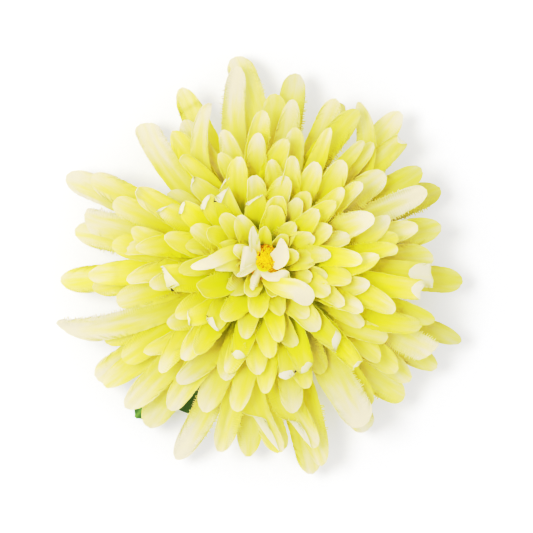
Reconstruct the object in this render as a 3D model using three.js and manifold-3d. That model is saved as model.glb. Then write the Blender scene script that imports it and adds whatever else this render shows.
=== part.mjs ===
// Artificial chrysanthemum flower head, lying face up on the foot of its calyx.
// Millimetres, +Z up. The origin is the middle of the foot's flat underside.
//
// Ten die-cut fabric petal layers are threaded on a moulded peg, one above the other, and the
// peg is pressed into a green calyx. The lowest layer spreads flat and droops, and each layer
// above it stands steeper and is shorter. Every petal lies on a surface of revolution that
// belongs to its layer, and those surfaces are nested, so petals of two layers never meet.
// The peg swells into a granular button at the heart, and a last small layer, the crown, sits
// on a pin on top of the button.
import * as THREE from 'three';
import { mergeVertices } from 'three/addons/utils/BufferGeometryUtils.js';
import Module from 'manifold-3d';

// Driving dimensions, in millimetres and degrees.
const NESTED_LAYERS = 10;
const HUB_BASE_HEIGHT = 9.2; // middle of the lowest hub above the table
const HUB_PITCH = 1.15; // from one hub to the next
const HUB_THICKNESS = 0.8;
const HUB_HOLE_RADIUS = 1.9;
const ROOT_RADIUS = { lowest: 9.6, highest: 3.3 }; // where the petals leave their hub
const RISE_ANGLE = { lowest: 24, highest: 86 }; // slope of a petal at its root
const TIP_ANGLE = { lowest: -27, highest: 46 }; // slope of a petal at its tip
const PETAL_LENGTH = { lowest: 57, highest: 22 }; // root to tip, over which the slope changes
const PETAL_THICKNESS = 0.6;
const ROOT_SINK = 1.5; // how far a petal runs into its hub
const SPREAD_LENGTH = 9; // length over which a petal leaves the plane of its hub
const ROOT_ROOM = 0.84; // part of a petal's share of the circle that it fills near its root
const ROOM_GAIN = 0.12; // what that gains once neighbours lie at different heights
const STRAP_TAPER = 0.28; // part of the width that a petal gains on its way out
const ROUND_FROM = 0.8; // part of the length at which the tip begins to round off
const ROUND_LENGTH = 0.232;
// A petal's place above or below its layer, in parts of the step from one layer to the next:
// every second petal lies higher and the others lower, its edges are cupped up, it is twisted a
// little, and its tip is curled a little.
const NEIGHBOUR_STEP = 0.2;
const CUP = { mean: 0.12, range: 0.04 };
const TWIST_RANGE = 0.03;
const CURL_RANGE = 0.03;
const PEG_RADIUS = 1.55;
const PEG_FOOT_HEIGHT = 2.6;
const BUTTON_RADIUS = 4.2;
const BUTTON_HEIGHT = 33.6; // top of the granular button above the table
const GRAINS = 11;
const GRAIN_RADIUS = 0.8;
const PIN_RADIUS = 0.8;
const CROWN = { radius: 2.3, height: 34.5, rise: 48, tip: 8, length: 9 };
const CROWN_STEP = { height: 1.6, rise: 6 }; // what one level more adds in the crown
const CALYX_FOOT_RADIUS = 8;
const CALYX_RIM_RADIUS = 9.4;
const CALYX_WAIST_RADIUS = 5.6;
const CALYX_SIDES = 22; // also of the collar round its waist
const LEAF_THICKNESS = 0.7;
const LEAF_AZIMUTH = 230;
const LEAF_REACH = 60.5;
const LEAF_HEIGHT = 2.45; // of the stalk's middle, above the table
const LEAF_ARCH = 1.3; // how far the middle of the leaf stands above a straight line
const LEAF_DROP = 0.5; // how much lower the tip is than the stalk
const LEAF_FOLD = 0.06; // rise of the two halves from the midrib
const COLLAR_WIDTH = 1.5;
const COLLAR_THICKNESS = 1;
const GROOVE_HEIGHT = 1.5; // bottom of the groove in the calyx that the collar lies in
const FIT_GAP = 0.3; // between pieces that touch

// Colours of the dipped fabric and the mouldings.
const PETAL_OUTER_COLOUR = new THREE.Color('#f4f3bd');
const PETAL_INNER_COLOUR = new THREE.Color('#eeec86');
const BUTTON_COLOUR = '#e9bd12';
const LEAF_COLOUR = '#45701a';
const CALYX_COLOUR = '#6f8f3a';

// The petals of each layer from the lowest up: azimuth of the tip in degrees, counter-clockwise
// from +X seen from above, its reach from the axis, its width where that differs from the layer's
// own width, and the degrees by which it bends sideways. Each was read by eye off the bloom.
const PETAL_LAYERS = [
  { width: 8.7, petals: [
    [355, 60.3], [23.5, 58.2], [47.5, 62.4], [64, 54], [80.5, 58.2], [98, 63.3, 9, 8],
    [115.5, 58.5], [130, 56.3, 8.2, -8], [156, 65.2], [170, 58], [185, 61.8],
    [196.5, 65.9, 7.6, -9], [214.5, 61.2], [233.5, 60.8], [245.5, 64.6], [265, 58.5],
    [283, 65.1], [302, 59.1], [317.5, 59, 9.5, 8], [329, 61], [338.5, 63.9]] },
  { width: 8.6, petals: [
    [3, 51.9], [12, 54.6], [31, 55.5], [42, 55.5], [57, 56.7, 8.6, 11], [66.5, 54.2], [86, 51.6],
    [97, 60, 8.6, -10], [119.5, 49.5], [153.5, 58.5], [166, 56.4], [188, 52], [206, 53.4],
    [217.5, 60.9], [226.5, 60.3], [257, 58.5], [275.5, 56.7, 8.6, 10], [286.5, 63.6],
    [307.5, 53.1], [321.5, 56.7], [332, 58.2, 9.6]] },
  { width: 8.3, petals: [
    [14, 47.7], [24.5, 53.6], [37, 45.6], [48, 49.2], [58, 54.3], [80, 50.1],
    [108, 50.7, 8.3, -10], [124.5, 48.5], [143, 36], [158, 49.2], [172.5, 46], [183.5, 53.1],
    [194, 45.9], [214, 51.6, 9.4], [237, 54], [248, 48], [272, 52.8], [287, 51.3], [302, 57],
    [321.5, 51.6], [341.5, 54], [356, 50.4]] },
  { width: 7.7, petals: [
    [12, 41.1], [51, 47.4], [64.5, 45.3], [77, 42], [90, 45.9], [107, 42],
    [128, 40.5, 6.6], [150, 44.1, 9], [165, 41], [175, 42.6], [187, 41.6], [216, 45],
    [226.5, 45.3], [236, 44.1], [259, 45], [281, 45.6], [299, 37.5], [320, 45.6], [329.5, 43.2],
    [339, 50.7], [351, 47.7]] },
  { width: 7, petals: [
    [7, 40.5], [21, 40.2], [39.5, 38], [53, 39.3, 8.2], [79, 38.1], [92.5, 39.3], [112, 36],
    [132, 34], [151, 36], [173.5, 38.6], [191, 34.8], [212, 34.5], [230, 37.5], [250, 37],
    [270, 38.7], [289.5, 39.6], [313, 41.4], [327, 35.4], [340, 42]] },
  { width: 6.5, petals: [
    [4, 34.8], [23, 36, 7.6], [44, 33], [62, 34.8], [75, 33.9], [87, 31.5], [103, 33],
    [116, 29], [145, 31.2], [165, 31], [184, 32, 7.6], [210, 31], [232, 33.9], [250, 34.5],
    [268, 33], [281, 35], [291.5, 35.4], [313.5, 33.6], [334.5, 32.7], [350, 32.1]] },
  { width: 6.1, petals: [
    [2, 29.4], [17.5, 27], [41, 28.5], [60, 25.5], [75, 27.4], [96, 27], [117, 26.5],
    [132, 27.6], [152, 24.4], [167, 24.2], [185, 25.5], [214, 29.1], [233, 25.2], [254, 29.4],
    [275, 28.5], [292, 26.5], [309, 25.8], [332, 27], [349.5, 26.8]] },
  { width: 5.7, petals: [
    [8, 20.5], [28, 23.1], [45, 23.1], [63, 22.5], [79, 20.6], [96, 21.6], [130, 19.8],
    [151, 19.5], [172, 21], [200, 21], [232, 21], [256, 23.1], [282.5, 24], [310, 21],
    [335, 21.8], [349, 19.6]] },
  { width: 5.3, petals: [
    [5, 15.5], [30, 17.1], [53, 15.5], [78, 18, 5.8], [119, 16.5], [158, 15], [186, 15],
    [224, 13.8], [261, 16.5], [290, 16.5], [320.5, 19.6, 6.2], [343, 15]] },
  { width: 4.6, petals: [
    [20, 10.6], [58, 11], [88, 11.6], [115.5, 11.2], [150, 10.4], [200, 9.6], [243, 10.6],
    [285, 10.2], [322, 9.8]] },
  { width: 4.8, petals: [[52, 8.6], [149, 8.3], [200, 8.2, 3.8], [238, 7.4, 3.6], [312, 7.4]] },
];
const LAYERS = PETAL_LAYERS.length;
const HEART_LEVEL = 10.25; // the highest nested layer stands a little apart from the one below
const CROWN_FROM = 10.65; // levels above this belong to the crown

// Where the rows of corners lie along a petal, from root to tip, and across it. The first row
// lies inside the hub and the second where the petal leaves it.
const ALONG_LONG = [-1, 0, 0.26, 0.56, 0.87, 1];
const ALONG_SHORT = [-1, 0, 0.4, 0.83, 1];
const LONG_LAYERS = 2;
const ACROSS = [-1, 0, 1];

const wasm = await Module();
wasm.setup();

const radians = THREE.MathUtils.degToRad;

// A geometry's closed surface as a solid that can be joined and cut.
function solidOf(geometry) {
  const bare = geometry.clone();
  bare.deleteAttribute('normal');
  bare.deleteAttribute('uv');
  const merged = mergeVertices(bare, 1e-4);
  return new wasm.Manifold(new wasm.Mesh({
    numProp: 3,
    vertProperties: new Float32Array(merged.attributes.position.array),
    triVerts: new Uint32Array(merged.index.array),
  }));
}

function geometryOf(solid) {
  const mesh = solid.getMesh();
  const geometry = new THREE.BufferGeometry();
  geometry.setAttribute('position', new THREE.BufferAttribute(mesh.vertProperties, 3));
  geometry.setIndex(new THREE.BufferAttribute(mesh.triVerts, 1));
  return geometry;
}

function joined(solids) {
  return solids.reduce((whole, solid) => whole.add(solid));
}

function subPart(name, geometry, colour, roughness) {
  geometry.computeVertexNormals();
  const material = new THREE.MeshStandardMaterial({ color: colour, roughness, metalness: 0 });
  const mesh = new THREE.Mesh(geometry, material);
  mesh.name = name;
  return mesh;
}

// Seeded draw between -1 and 1 for one petal of one layer.
function draw(layer, petal, channel) {
  const wave = Math.sin(12.9898 * layer + 78.233 * petal + 37.719 * channel) * 43758.5453;
  return 2 * (wave - Math.floor(wave)) - 1;
}

function smooth(x) {
  const clamped = Math.min(Math.max(x, 0), 1);
  return clamped * clamped * (3 - 2 * clamped);
}

// A value that changes evenly from the lowest layer, level 1, to the highest nested one.
function atLevel(range, level) {
  return range.lowest + ((range.highest - range.lowest) * (level - 1)) / (NESTED_LAYERS - 1);
}

// A level's meridian is an arc: its slope falls evenly from the rise angle to the tip angle.
function meridian(level) {
  if (level > CROWN_FROM) {
    const above = level - LAYERS;
    const rise = CROWN.rise + CROWN_STEP.rise * above;
    return {
      start: radians(rise),
      turn: radians(CROWN.tip - rise) / CROWN.length,
      radius: CROWN.radius,
      height: CROWN.height + CROWN_STEP.height * above,
    };
  }
  const start = radians(atLevel(RISE_ANGLE, level));
  const end = radians(atLevel(TIP_ANGLE, level));
  return {
    start,
    turn: (end - start) / atLevel(PETAL_LENGTH, level),
    radius: atLevel(ROOT_RADIUS, level),
    height: HUB_BASE_HEIGHT + HUB_PITCH * (level - 1),
  };
}

// Radius and height at a distance along a level's arc. Inside the hub the petal runs level.
function onMeridian(level, distance) {
  const arc = meridian(level);
  if (distance <= 0) return { radius: arc.radius + distance, height: arc.height };
  const slope = arc.start + arc.turn * distance;
  return {
    radius: arc.radius + (Math.sin(slope) - Math.sin(arc.start)) / arc.turn,
    height: arc.height + (Math.cos(arc.start) - Math.cos(slope)) / arc.turn,
  };
}

// Distance along a level's arc at which it reaches a given radius.
function distanceTo(level, reach) {
  const arc = meridian(level);
  const slope = Math.asin(Math.sin(arc.start) + arc.turn * (reach - arc.radius));
  return (slope - arc.start) / arc.turn;
}

// A blade from a grid of middle points: both faces are offset along the surface's normal and
// split into triangles alike, and a rim closes them.
function bladeGeometry(rows, columns, pointAt, thickness) {
  const corners = [];
  const step = 1e-3;
  for (const side of [0.5, -0.5]) {
    for (const u of rows) {
      for (const v of columns) {
        const alongU = pointAt(u + step, v).sub(pointAt(u - step, v));
        const alongV = pointAt(u, v + step).sub(pointAt(u, v - step));
        const normal = alongU.cross(alongV).normalize();
        corners.push(...pointAt(u, v).addScaledVector(normal, side * thickness));
      }
    }
  }
  const across = columns.length;
  const far = rows.length * across;
  const faces = [];
  for (let i = 0; i < rows.length - 1; i += 1) {
    for (let j = 0; j < across - 1; j += 1) {
      const a = i * across + j;
      const b = a + across;
      faces.push(a, b, b + 1, a, b + 1, a + 1);
      faces.push(far + a, far + b + 1, far + b, far + a, far + a + 1, far + b + 1);
    }
  }
  const rim = [];
  for (let j = 0; j < across; j += 1) rim.push(j);
  for (let i = 1; i < rows.length; i += 1) rim.push(i * across + across - 1);
  for (let j = across - 2; j >= 0; j -= 1) rim.push((rows.length - 1) * across + j);
  for (let i = rows.length - 2; i > 0; i -= 1) rim.push(i * across);
  rim.forEach((corner, k) => {
    const next = rim[(k + 1) % rim.length];
    faces.push(corner, next, far + next, corner, far + next, far + corner);
  });
  const geometry = new THREE.BufferGeometry();
  geometry.setAttribute('position', new THREE.Float32BufferAttribute(corners, 3));
  geometry.setIndex(faces);
  return geometry;
}

// Half width of a petal: a narrow root as wide as its share of the hub, a strap that widens to
// its full width, and a rounded tip.
function petalHalfWidth(along, radius, width, share) {
  const room = 0.5 * ROOT_ROOM * share * radius;
  const strap = 0.5 * width * (1 - STRAP_TAPER * (1 - smooth(along / 0.7)));
  const rounding = Math.max(along - ROUND_FROM, 0) / ROUND_LENGTH;
  return Math.min(room, strap) * Math.sqrt(1 - rounding ** 2);
}

function petalGeometry(layer, index, petals, width) {
  const level = layer === NESTED_LAYERS ? HEART_LEVEL : layer;
  const [, reach, ownWidth, bend = 0] = petals[index];
  const share = (2 * Math.PI) / petals.length;
  const root = rootAzimuth(petals, index);
  const sideways = radians(bend);
  const swing = radians(unwrapped(petals[index], petals)) - root - sideways;
  const step = index % 2 === 0 ? NEIGHBOUR_STEP : -NEIGHBOUR_STEP;
  const cup = CUP.mean + CUP.range * draw(layer, index, 1);
  const twist = TWIST_RANGE * draw(layer, index, 2);
  const curl = CURL_RANGE * draw(layer, index, 3);
  const length = distanceTo(level, reach);
  const sink = Math.min(ROOT_SINK, (meridian(level).radius - holeRadius(layer)) * 0.7);
  const pointAt = (u, v) => {
    const distance = u * (u < 0 ? sink : length);
    const spread = smooth(distance / SPREAD_LENGTH);
    const shift = step + cup * v * v + twist * v + curl * smooth((u - 0.5) * 2);
    const place = onMeridian(level + spread * shift, distance);
    const room = share * (1 + ROOM_GAIN * spread);
    const half = petalHalfWidth(u, place.radius, ownWidth ?? width, room);
    const middle = root + swing * spread + sideways * Math.max(u, 0) ** 2;
    const azimuth = middle + (v * half) / place.radius;
    return new THREE.Vector3(
      place.radius * Math.cos(azimuth),
      place.radius * Math.sin(azimuth),
      place.height,
    );
  };
  const rows = layer <= LONG_LAYERS ? ALONG_LONG : ALONG_SHORT;
  return bladeGeometry(rows, ACROSS, pointAt, PETAL_THICKNESS);
}

// A petal's tip azimuth in degrees, counted on past 360 so that a layer's row only grows.
function unwrapped(petal, petals) {
  return petal[0] < petals[0][0] ? petal[0] + 360 : petal[0];
}

// Azimuth of a root. Roots are evenly spaced round the hub, and their mean is the tips' mean.
function rootAzimuth(petals, index) {
  const mean = petals.reduce((sum, petal) => sum + unwrapped(petal, petals), 0) / petals.length;
  return radians(mean + ((index - (petals.length - 1) / 2) * 360) / petals.length);
}

// Small layers get two sides to each petal, so that their hub stays round.
function sidesOf(petals) {
  return petals.length < 10 ? 2 * petals.length : petals.length;
}

function holeRadius(layer) {
  return layer === LAYERS ? PIN_RADIUS + FIT_GAP : HUB_HOLE_RADIUS;
}

// The hub of a layer: a flat washer on the peg.
function hubGeometry(layer) {
  const { radius, height } = meridian(layer === NESTED_LAYERS ? HEART_LEVEL : layer);
  const { petals } = PETAL_LAYERS[layer - 1];
  const hole = holeRadius(layer);
  const low = height - HUB_THICKNESS / 2;
  const high = height + HUB_THICKNESS / 2;
  return latheUp([[hole, low], [radius, low], [radius, high], [hole, high], [hole, low]],
    sidesOf(petals)).rotateZ(rootAzimuth(petals, 0.5) + Math.PI / 2);
}

// A turned body from [radius, height] pairs, listed from the bottom of the axis outwards.
function latheUp(profile, sides) {
  const points = profile.map(([radius, height]) => new THREE.Vector2(radius, height));
  return new THREE.LatheGeometry(points, sides).rotateX(Math.PI / 2);
}

function petalLayer(layer) {
  const { petals, width } = PETAL_LAYERS[layer - 1];
  const blades = petals.map((_, index) => solidOf(petalGeometry(layer, index, petals, width)));
  const fused = joined([solidOf(hubGeometry(layer)), ...blades]);
  const colour = PETAL_OUTER_COLOUR.clone().lerp(PETAL_INNER_COLOUR, (layer - 1) / (LAYERS - 1));
  return subPart(`petal_layer_${String(layer).padStart(2, '0')}`, geometryOf(fused), colour, 0.85);
}

// The peg runs through every hub and swells into the button of coarse grains at the heart.
function heartPeg() {
  const top = BUTTON_HEIGHT;
  const pinTop = CROWN.height + HUB_THICKNESS / 2;
  const shaft = latheUp([
    [0, PEG_FOOT_HEIGHT], [PEG_RADIUS, PEG_FOOT_HEIGHT], [PEG_RADIUS, top - 10],
    [BUTTON_RADIUS * 0.57, top - 7.1], [BUTTON_RADIUS * 0.86, top - 4],
    [BUTTON_RADIUS, top - 2.6], [BUTTON_RADIUS * 0.9, top - 1.2], [PIN_RADIUS + 1, top],
    [PIN_RADIUS, top], [PIN_RADIUS, pinTop], [0, pinTop]], 10);
  const grains = [];
  const goldenAngle = Math.PI * (3 - Math.sqrt(5));
  for (let i = 0; i < GRAINS; i += 1) {
    const spread = Math.sqrt(0.3 + (0.7 * (i + 0.5)) / GRAINS);
    const radius = 0.92 * BUTTON_RADIUS * spread;
    const grain = new THREE.IcosahedronGeometry(GRAIN_RADIUS, 0);
    grain.translate(
      radius * Math.cos(i * goldenAngle),
      radius * Math.sin(i * goldenAngle),
      top - 0.94 * GRAIN_RADIUS - 2 * GRAIN_RADIUS * spread ** 3,
    );
    grains.push(solidOf(grain));
  }
  return subPart('heart_peg', geometryOf(joined([solidOf(shaft), ...grains])), BUTTON_COLOUR, 0.9);
}

// The calyx: a foot to stand on, a waist that the leaf's collar grips, and a cup whose rim
// carries the lowest hub. The peg is pressed into its blind hole.
function calyx() {
  const rim = HUB_BASE_HEIGHT - HUB_THICKNESS / 2 - FIT_GAP;
  const hole = PEG_RADIUS + FIT_GAP;
  return subPart('calyx', latheUp([
    [0, 0], [CALYX_FOOT_RADIUS, 0], [CALYX_FOOT_RADIUS, 1.1], [CALYX_WAIST_RADIUS, GROOVE_HEIGHT],
    [CALYX_WAIST_RADIUS, 3.4], [CALYX_RIM_RADIUS - 0.9, 5.4], [CALYX_RIM_RADIUS, rim],
    [hole, rim], [hole, PEG_FOOT_HEIGHT - FIT_GAP], [0, PEG_FOOT_HEIGHT - FIT_GAP]], CALYX_SIDES),
  CALYX_COLOUR, 0.6);
}

// Distance from the axis and half width of the leaf: a stalk, then lobes that end in blunt
// teeth, deep cuts between them, and a pointed end lobe.
const LEAF_OUTLINE = [
  [5.8, 2.2], [12, 1.5], [18, 5.5], [21.5, 11], [25, 9.5], [28.5, 15.6], [32.5, 14.2],
  [35, 8.2], [38, 9.6], [42, 13.6], [46, 12.4], [49, 11.2], [51.3, 6.6], [54.5, 7.4], [58, 4.6],
  [LEAF_REACH, 0.6],
];

function leaf() {
  const rows = LEAF_OUTLINE.map((_, index) => index);
  const start = LEAF_OUTLINE[0][0];
  const between = (value, column) => {
    const index = Math.min(Math.max(Math.floor(value), 0), rows.length - 2);
    const part = value - index;
    return LEAF_OUTLINE[index][column] * (1 - part) + LEAF_OUTLINE[index + 1][column] * part;
  };
  const pointAt = (u, v) => {
    const along = between(u, 0);
    const side = v * between(u, 1);
    const way = (along - start) / (LEAF_REACH - start);
    const arch = LEAF_ARCH * Math.sin(Math.PI * way) - LEAF_DROP * way;
    return new THREE.Vector3(along, side, LEAF_HEIGHT + arch + LEAF_FOLD * Math.abs(side));
  };
  const blade = bladeGeometry(rows, ACROSS, pointAt, LEAF_THICKNESS);
  const inner = CALYX_WAIST_RADIUS + FIT_GAP;
  const outer = inner + COLLAR_WIDTH;
  const low = GROOVE_HEIGHT + FIT_GAP;
  const high = low + COLLAR_THICKNESS;
  const collar = latheUp([[inner, low], [outer, low], [outer, high], [inner, high], [inner, low]],
    CALYX_SIDES);
  const cutter = latheUp([[0, 0], [inner, 0], [inner, HUB_BASE_HEIGHT], [0, HUB_BASE_HEIGHT]],
    CALYX_SIDES);
  const whole = solidOf(collar).add(solidOf(blade)).subtract(solidOf(cutter));
  const geometry = geometryOf(whole).rotateZ(radians(LEAF_AZIMUTH));
  return subPart('leaf', geometry, LEAF_COLOUR, 0.8);
}

const flowerHead = new THREE.Group();
flowerHead.name = 'chrysanthemum_head';
for (let layer = 1; layer <= LAYERS; layer += 1) flowerHead.add(petalLayer(layer));
flowerHead.add(heartPeg(), calyx(), leaf());

export default flowerHead;
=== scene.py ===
# %% [markdown]
# Artificial chrysanthemum head, lying face up.
#
# It is taken to be a stack of die-cut polyester petal layers threaded on a moulded peg, with a
# granular heart, a green calyx and one printed leaf. Peg and calyx don't show in the photo and
# are guessed. Three ways lead to such a bloom: sculpting it whole, scattering one petal many
# times, or working out every petal as a surface. Here every petal is worked out, because each one
# has its own reach, bend, curl and fray, and a formula keeps the layers apart.

# %% Load the frame
import math

import bmesh
import bpy
import numpy as np
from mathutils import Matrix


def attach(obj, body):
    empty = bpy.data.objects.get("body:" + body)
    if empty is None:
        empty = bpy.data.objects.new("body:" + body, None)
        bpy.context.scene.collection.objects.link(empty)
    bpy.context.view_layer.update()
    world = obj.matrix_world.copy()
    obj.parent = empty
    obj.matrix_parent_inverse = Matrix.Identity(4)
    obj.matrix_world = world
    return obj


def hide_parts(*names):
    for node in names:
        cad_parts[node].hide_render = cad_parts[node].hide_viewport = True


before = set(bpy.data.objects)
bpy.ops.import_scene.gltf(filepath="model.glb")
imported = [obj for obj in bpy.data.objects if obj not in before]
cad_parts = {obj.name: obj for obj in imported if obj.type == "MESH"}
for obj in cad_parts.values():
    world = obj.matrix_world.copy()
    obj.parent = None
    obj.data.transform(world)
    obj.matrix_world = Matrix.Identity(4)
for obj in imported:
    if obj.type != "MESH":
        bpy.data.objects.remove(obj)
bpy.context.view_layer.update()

MM = 0.001
print("CAD nodes:", ", ".join(sorted(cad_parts)))

# %% [markdown]
# Camera. The bloom is seen from straight above, nearly without perspective. A long lens far away
# gives that, and still lets the other views frame the object by the lens. The picture is as wide
# as 159.9 mm at the height of the petals, and its middle lies a little beside the bloom's axis.

# %% Camera
PICTURE_WIDTH = 0.1599
PICTURE_MIDDLE = (0.00075, -0.00075)
PICTURE_HEIGHT_LEVEL = 0.020
LENS = 500
SENSOR = 36
CLIP_PARTS = (0.1, 4)  # the nearest and farthest seen, as parts of the distance


def add_camera():
    """A camera looking down, as far off as makes its sensor see the picture's width."""
    data = bpy.data.cameras.new("studio_camera")
    data.lens = LENS
    data.sensor_width = SENSOR
    distance = PICTURE_WIDTH * LENS / SENSOR
    data.clip_start, data.clip_end = (distance * part for part in CLIP_PARTS)
    camera = bpy.data.objects.new("studio_camera", data)
    camera.location = (*PICTURE_MIDDLE, PICTURE_HEIGHT_LEVEL + distance)
    bpy.context.scene.collection.objects.link(camera)
    bpy.context.scene.camera = camera
    return camera


camera = add_camera()
print("camera at", [round(c, 3) for c in camera.location])

# %% [markdown]
# The layers. The photo shows each layer shorter than the one below it. How they rise can't be
# seen from above and is a guess: the lowest spreads flat and droops, and each one above it stands
# steeper. All belong to one family of arcs, told apart by their level from 1 to 10, so a petal
# that keeps to its level can't cross another layer. The numbers are the CAD model's own, in
# millimetres and degrees.

# %% The family of arcs
NESTED_LAYERS = 10
HUB_BASE_HEIGHT = 9.2
HUB_PITCH = 1.15
HUB_THICKNESS = 0.8
HUB_HOLE_RADIUS = 1.9
ROOT_RADIUS = (9.6, 3.3)
RISE_ANGLE = (24, 86)
TIP_ANGLE = (-27, 46)
PETAL_LENGTH = (57, 22)
ROOT_SINK = 1.5
SPREAD_LENGTH = 9
ROOT_ROOM = 0.84
ROOM_GAIN = 0.12
STRAP_TAPER = 0.28
NEIGHBOUR_STEP = 0.2
CROWN = {"radius": 2.3, "height": 34.5, "rise": 48, "tip": 8, "length": 9}
CROWN_STEP = {"height": 1.6, "rise": 6}
CROWN_FROM = 10.65
HEART_LEVEL = 10.25
PIN_RADIUS = 0.8
FIT_GAP = 0.3

# Width of each layer's petals, and for each petal the azimuth of its tip, its reach from the
# axis, its own width where that differs, and its sideways bend.
PETAL_LAYERS = [
    (8.7, [[355, 60.3], [23.5, 58.2], [47.5, 62.4], [64, 54], [80.5, 58.2], [98, 63.3, 9, 8],
           [115.5, 58.5], [130, 56.3, 8.2, -8], [156, 65.2], [170, 58], [185, 61.8],
           [196.5, 65.9, 7.6, -9], [214.5, 61.2], [233.5, 60.8], [245.5, 64.6], [265, 58.5],
           [283, 65.1], [302, 59.1], [317.5, 59, 9.5, 8], [329, 61], [338.5, 63.9]]),
    (8.6, [[3, 51.9], [12, 54.6], [31, 55.5], [42, 55.5], [57, 56.7, 8.6, 11], [66.5, 54.2],
           [86, 51.6], [97, 60, 8.6, -10], [119.5, 49.5], [153.5, 58.5], [166, 56.4], [188, 52],
           [206, 53.4], [217.5, 60.9], [226.5, 60.3], [257, 58.5], [275.5, 56.7, 8.6, 10],
           [286.5, 63.6], [307.5, 53.1], [321.5, 56.7], [332, 58.2, 9.6]]),
    (8.3, [[14, 47.7], [24.5, 53.6], [37, 45.6], [48, 49.2], [58, 54.3], [80, 50.1],
           [108, 50.7, 8.3, -10], [124.5, 48.5], [143, 36], [158, 49.2], [172.5, 46],
           [183.5, 53.1], [194, 45.9], [214, 51.6, 9.4], [237, 54], [248, 48], [272, 52.8],
           [287, 51.3], [302, 57], [321.5, 51.6], [341.5, 54], [356, 50.4]]),
    (7.7, [[12, 41.1], [51, 47.4], [64.5, 45.3], [77, 42], [90, 45.9], [107, 42],
           [128, 40.5, 6.6], [150, 44.1, 9], [165, 41], [175, 42.6], [187, 41.6], [216, 45],
           [226.5, 45.3], [236, 44.1], [259, 45], [281, 45.6], [299, 37.5], [320, 45.6],
           [329.5, 43.2], [339, 50.7], [351, 47.7]]),
    (7.0, [[7, 40.5], [21, 40.2], [39.5, 38], [53, 39.3, 8.2], [79, 38.1], [92.5, 39.3],
           [112, 36], [132, 34], [151, 36], [173.5, 38.6], [191, 34.8], [212, 34.5],
           [230, 37.5], [250, 37], [270, 38.7], [289.5, 39.6], [313, 41.4], [327, 35.4],
           [340, 42]]),
    (6.5, [[4, 34.8], [23, 36, 7.6], [44, 33], [62, 34.8], [75, 33.9], [87, 31.5], [103, 33],
           [116, 29], [145, 31.2], [165, 31], [184, 32, 7.6], [210, 31], [232, 33.9],
           [250, 34.5], [268, 33], [281, 35], [291.5, 35.4], [313.5, 33.6], [334.5, 32.7],
           [350, 32.1]]),
    (6.1, [[2, 29.4], [17.5, 27], [41, 28.5], [60, 25.5], [75, 27.4], [96, 27], [117, 26.5],
           [132, 27.6], [152, 24.4], [167, 24.2], [185, 25.5], [214, 29.1], [233, 25.2],
           [254, 29.4], [275, 28.5], [292, 26.5], [309, 25.8], [332, 27], [349.5, 26.8]]),
    (5.7, [[8, 20.5], [28, 23.1], [45, 23.1], [63, 22.5], [79, 20.6], [96, 21.6], [130, 19.8],
           [151, 19.5], [172, 21], [200, 21], [232, 21], [256, 23.1], [282.5, 24], [310, 21],
           [335, 21.8], [349, 19.6]]),
    (5.3, [[5, 15.5], [30, 17.1], [53, 15.5], [78, 18, 5.8], [119, 16.5], [158, 15], [186, 15],
           [224, 13.8], [261, 16.5], [290, 16.5], [320.5, 19.6, 6.2], [343, 15]]),
    (4.6, [[20, 10.6], [58, 11], [88, 11.6], [115.5, 11.2], [150, 10.4], [200, 9.6],
           [243, 10.6], [285, 10.2], [322, 9.8]]),
    (4.8, [[52, 8.6], [149, 8.3], [200, 8.2, 3.8], [238, 7.4, 3.6], [312, 7.4]]),
]
LAYERS = len(PETAL_LAYERS)


def at_level(ends, level):
    """A value that changes evenly from level 1 to the highest nested level."""
    return ends[0] + (ends[1] - ends[0]) * (level - 1) / (NESTED_LAYERS - 1)


def meridian(level):
    """Slope at the root, change of slope per millimetre, and radius and height of the root."""
    if np.max(level) > CROWN_FROM:
        above = level - LAYERS
        start = np.radians(CROWN["rise"] + CROWN_STEP["rise"] * above)
        turn = (np.radians(CROWN["tip"]) - start) / CROWN["length"]
        return start, turn, CROWN["radius"] + 0 * above, CROWN["height"] + CROWN_STEP["height"] * above
    start = np.radians(at_level(RISE_ANGLE, level))
    turn = (np.radians(at_level(TIP_ANGLE, level)) - start) / at_level(PETAL_LENGTH, level)
    return start, turn, at_level(ROOT_RADIUS, level), HUB_BASE_HEIGHT + HUB_PITCH * (level - 1)


def on_meridian(level, distance):
    """Radius and height at a distance along a level's arc: the slope changes evenly, so both are
    differences of its sine and cosine over the turn. Inside the hub the petal runs level."""
    start, turn, radius, height = meridian(level)
    slope = start + turn * np.maximum(distance, 0)
    out = (np.sin(slope) - np.sin(start)) / turn + np.minimum(distance, 0)
    return radius + out, height + (np.cos(start) - np.cos(slope)) / turn


def distance_to(level, reach):
    """Distance along a level's arc at which it reaches a radius."""
    start, turn, radius, _ = meridian(level)
    return (np.arcsin(np.sin(start) + turn * (reach - radius)) - start) / turn


def smooth(x):
    """Rises from 0 to 1 with level ends."""
    x = np.clip(x, 0, 1)
    return x * x * (3 - 2 * x)


def rising(x, start, length):
    """Rises from 0 at the start to 1 after the length, with level ends."""
    return smooth((x - start) / length)


def falling(x, end, length, left):
    """Falls from 1 to 0 over the length, of which that part is left at the end."""
    return smooth((end - x) / length + left)


DRAW_STEPS = (12.9898, 78.233, 37.719)
DRAW_HEIGHT = 43758.5453


def draw(layer, index, channel):
    """Seeded draw between -1 and 1: the broken part of a large sine."""
    by_layer, by_index, by_channel = DRAW_STEPS
    wave = math.sin(by_layer * layer + by_index * index + by_channel * channel) * DRAW_HEIGHT
    return 2 * (wave - math.floor(wave)) - 1


print("petals in each layer:", [len(petals) for _, petals in PETAL_LAYERS])

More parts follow.
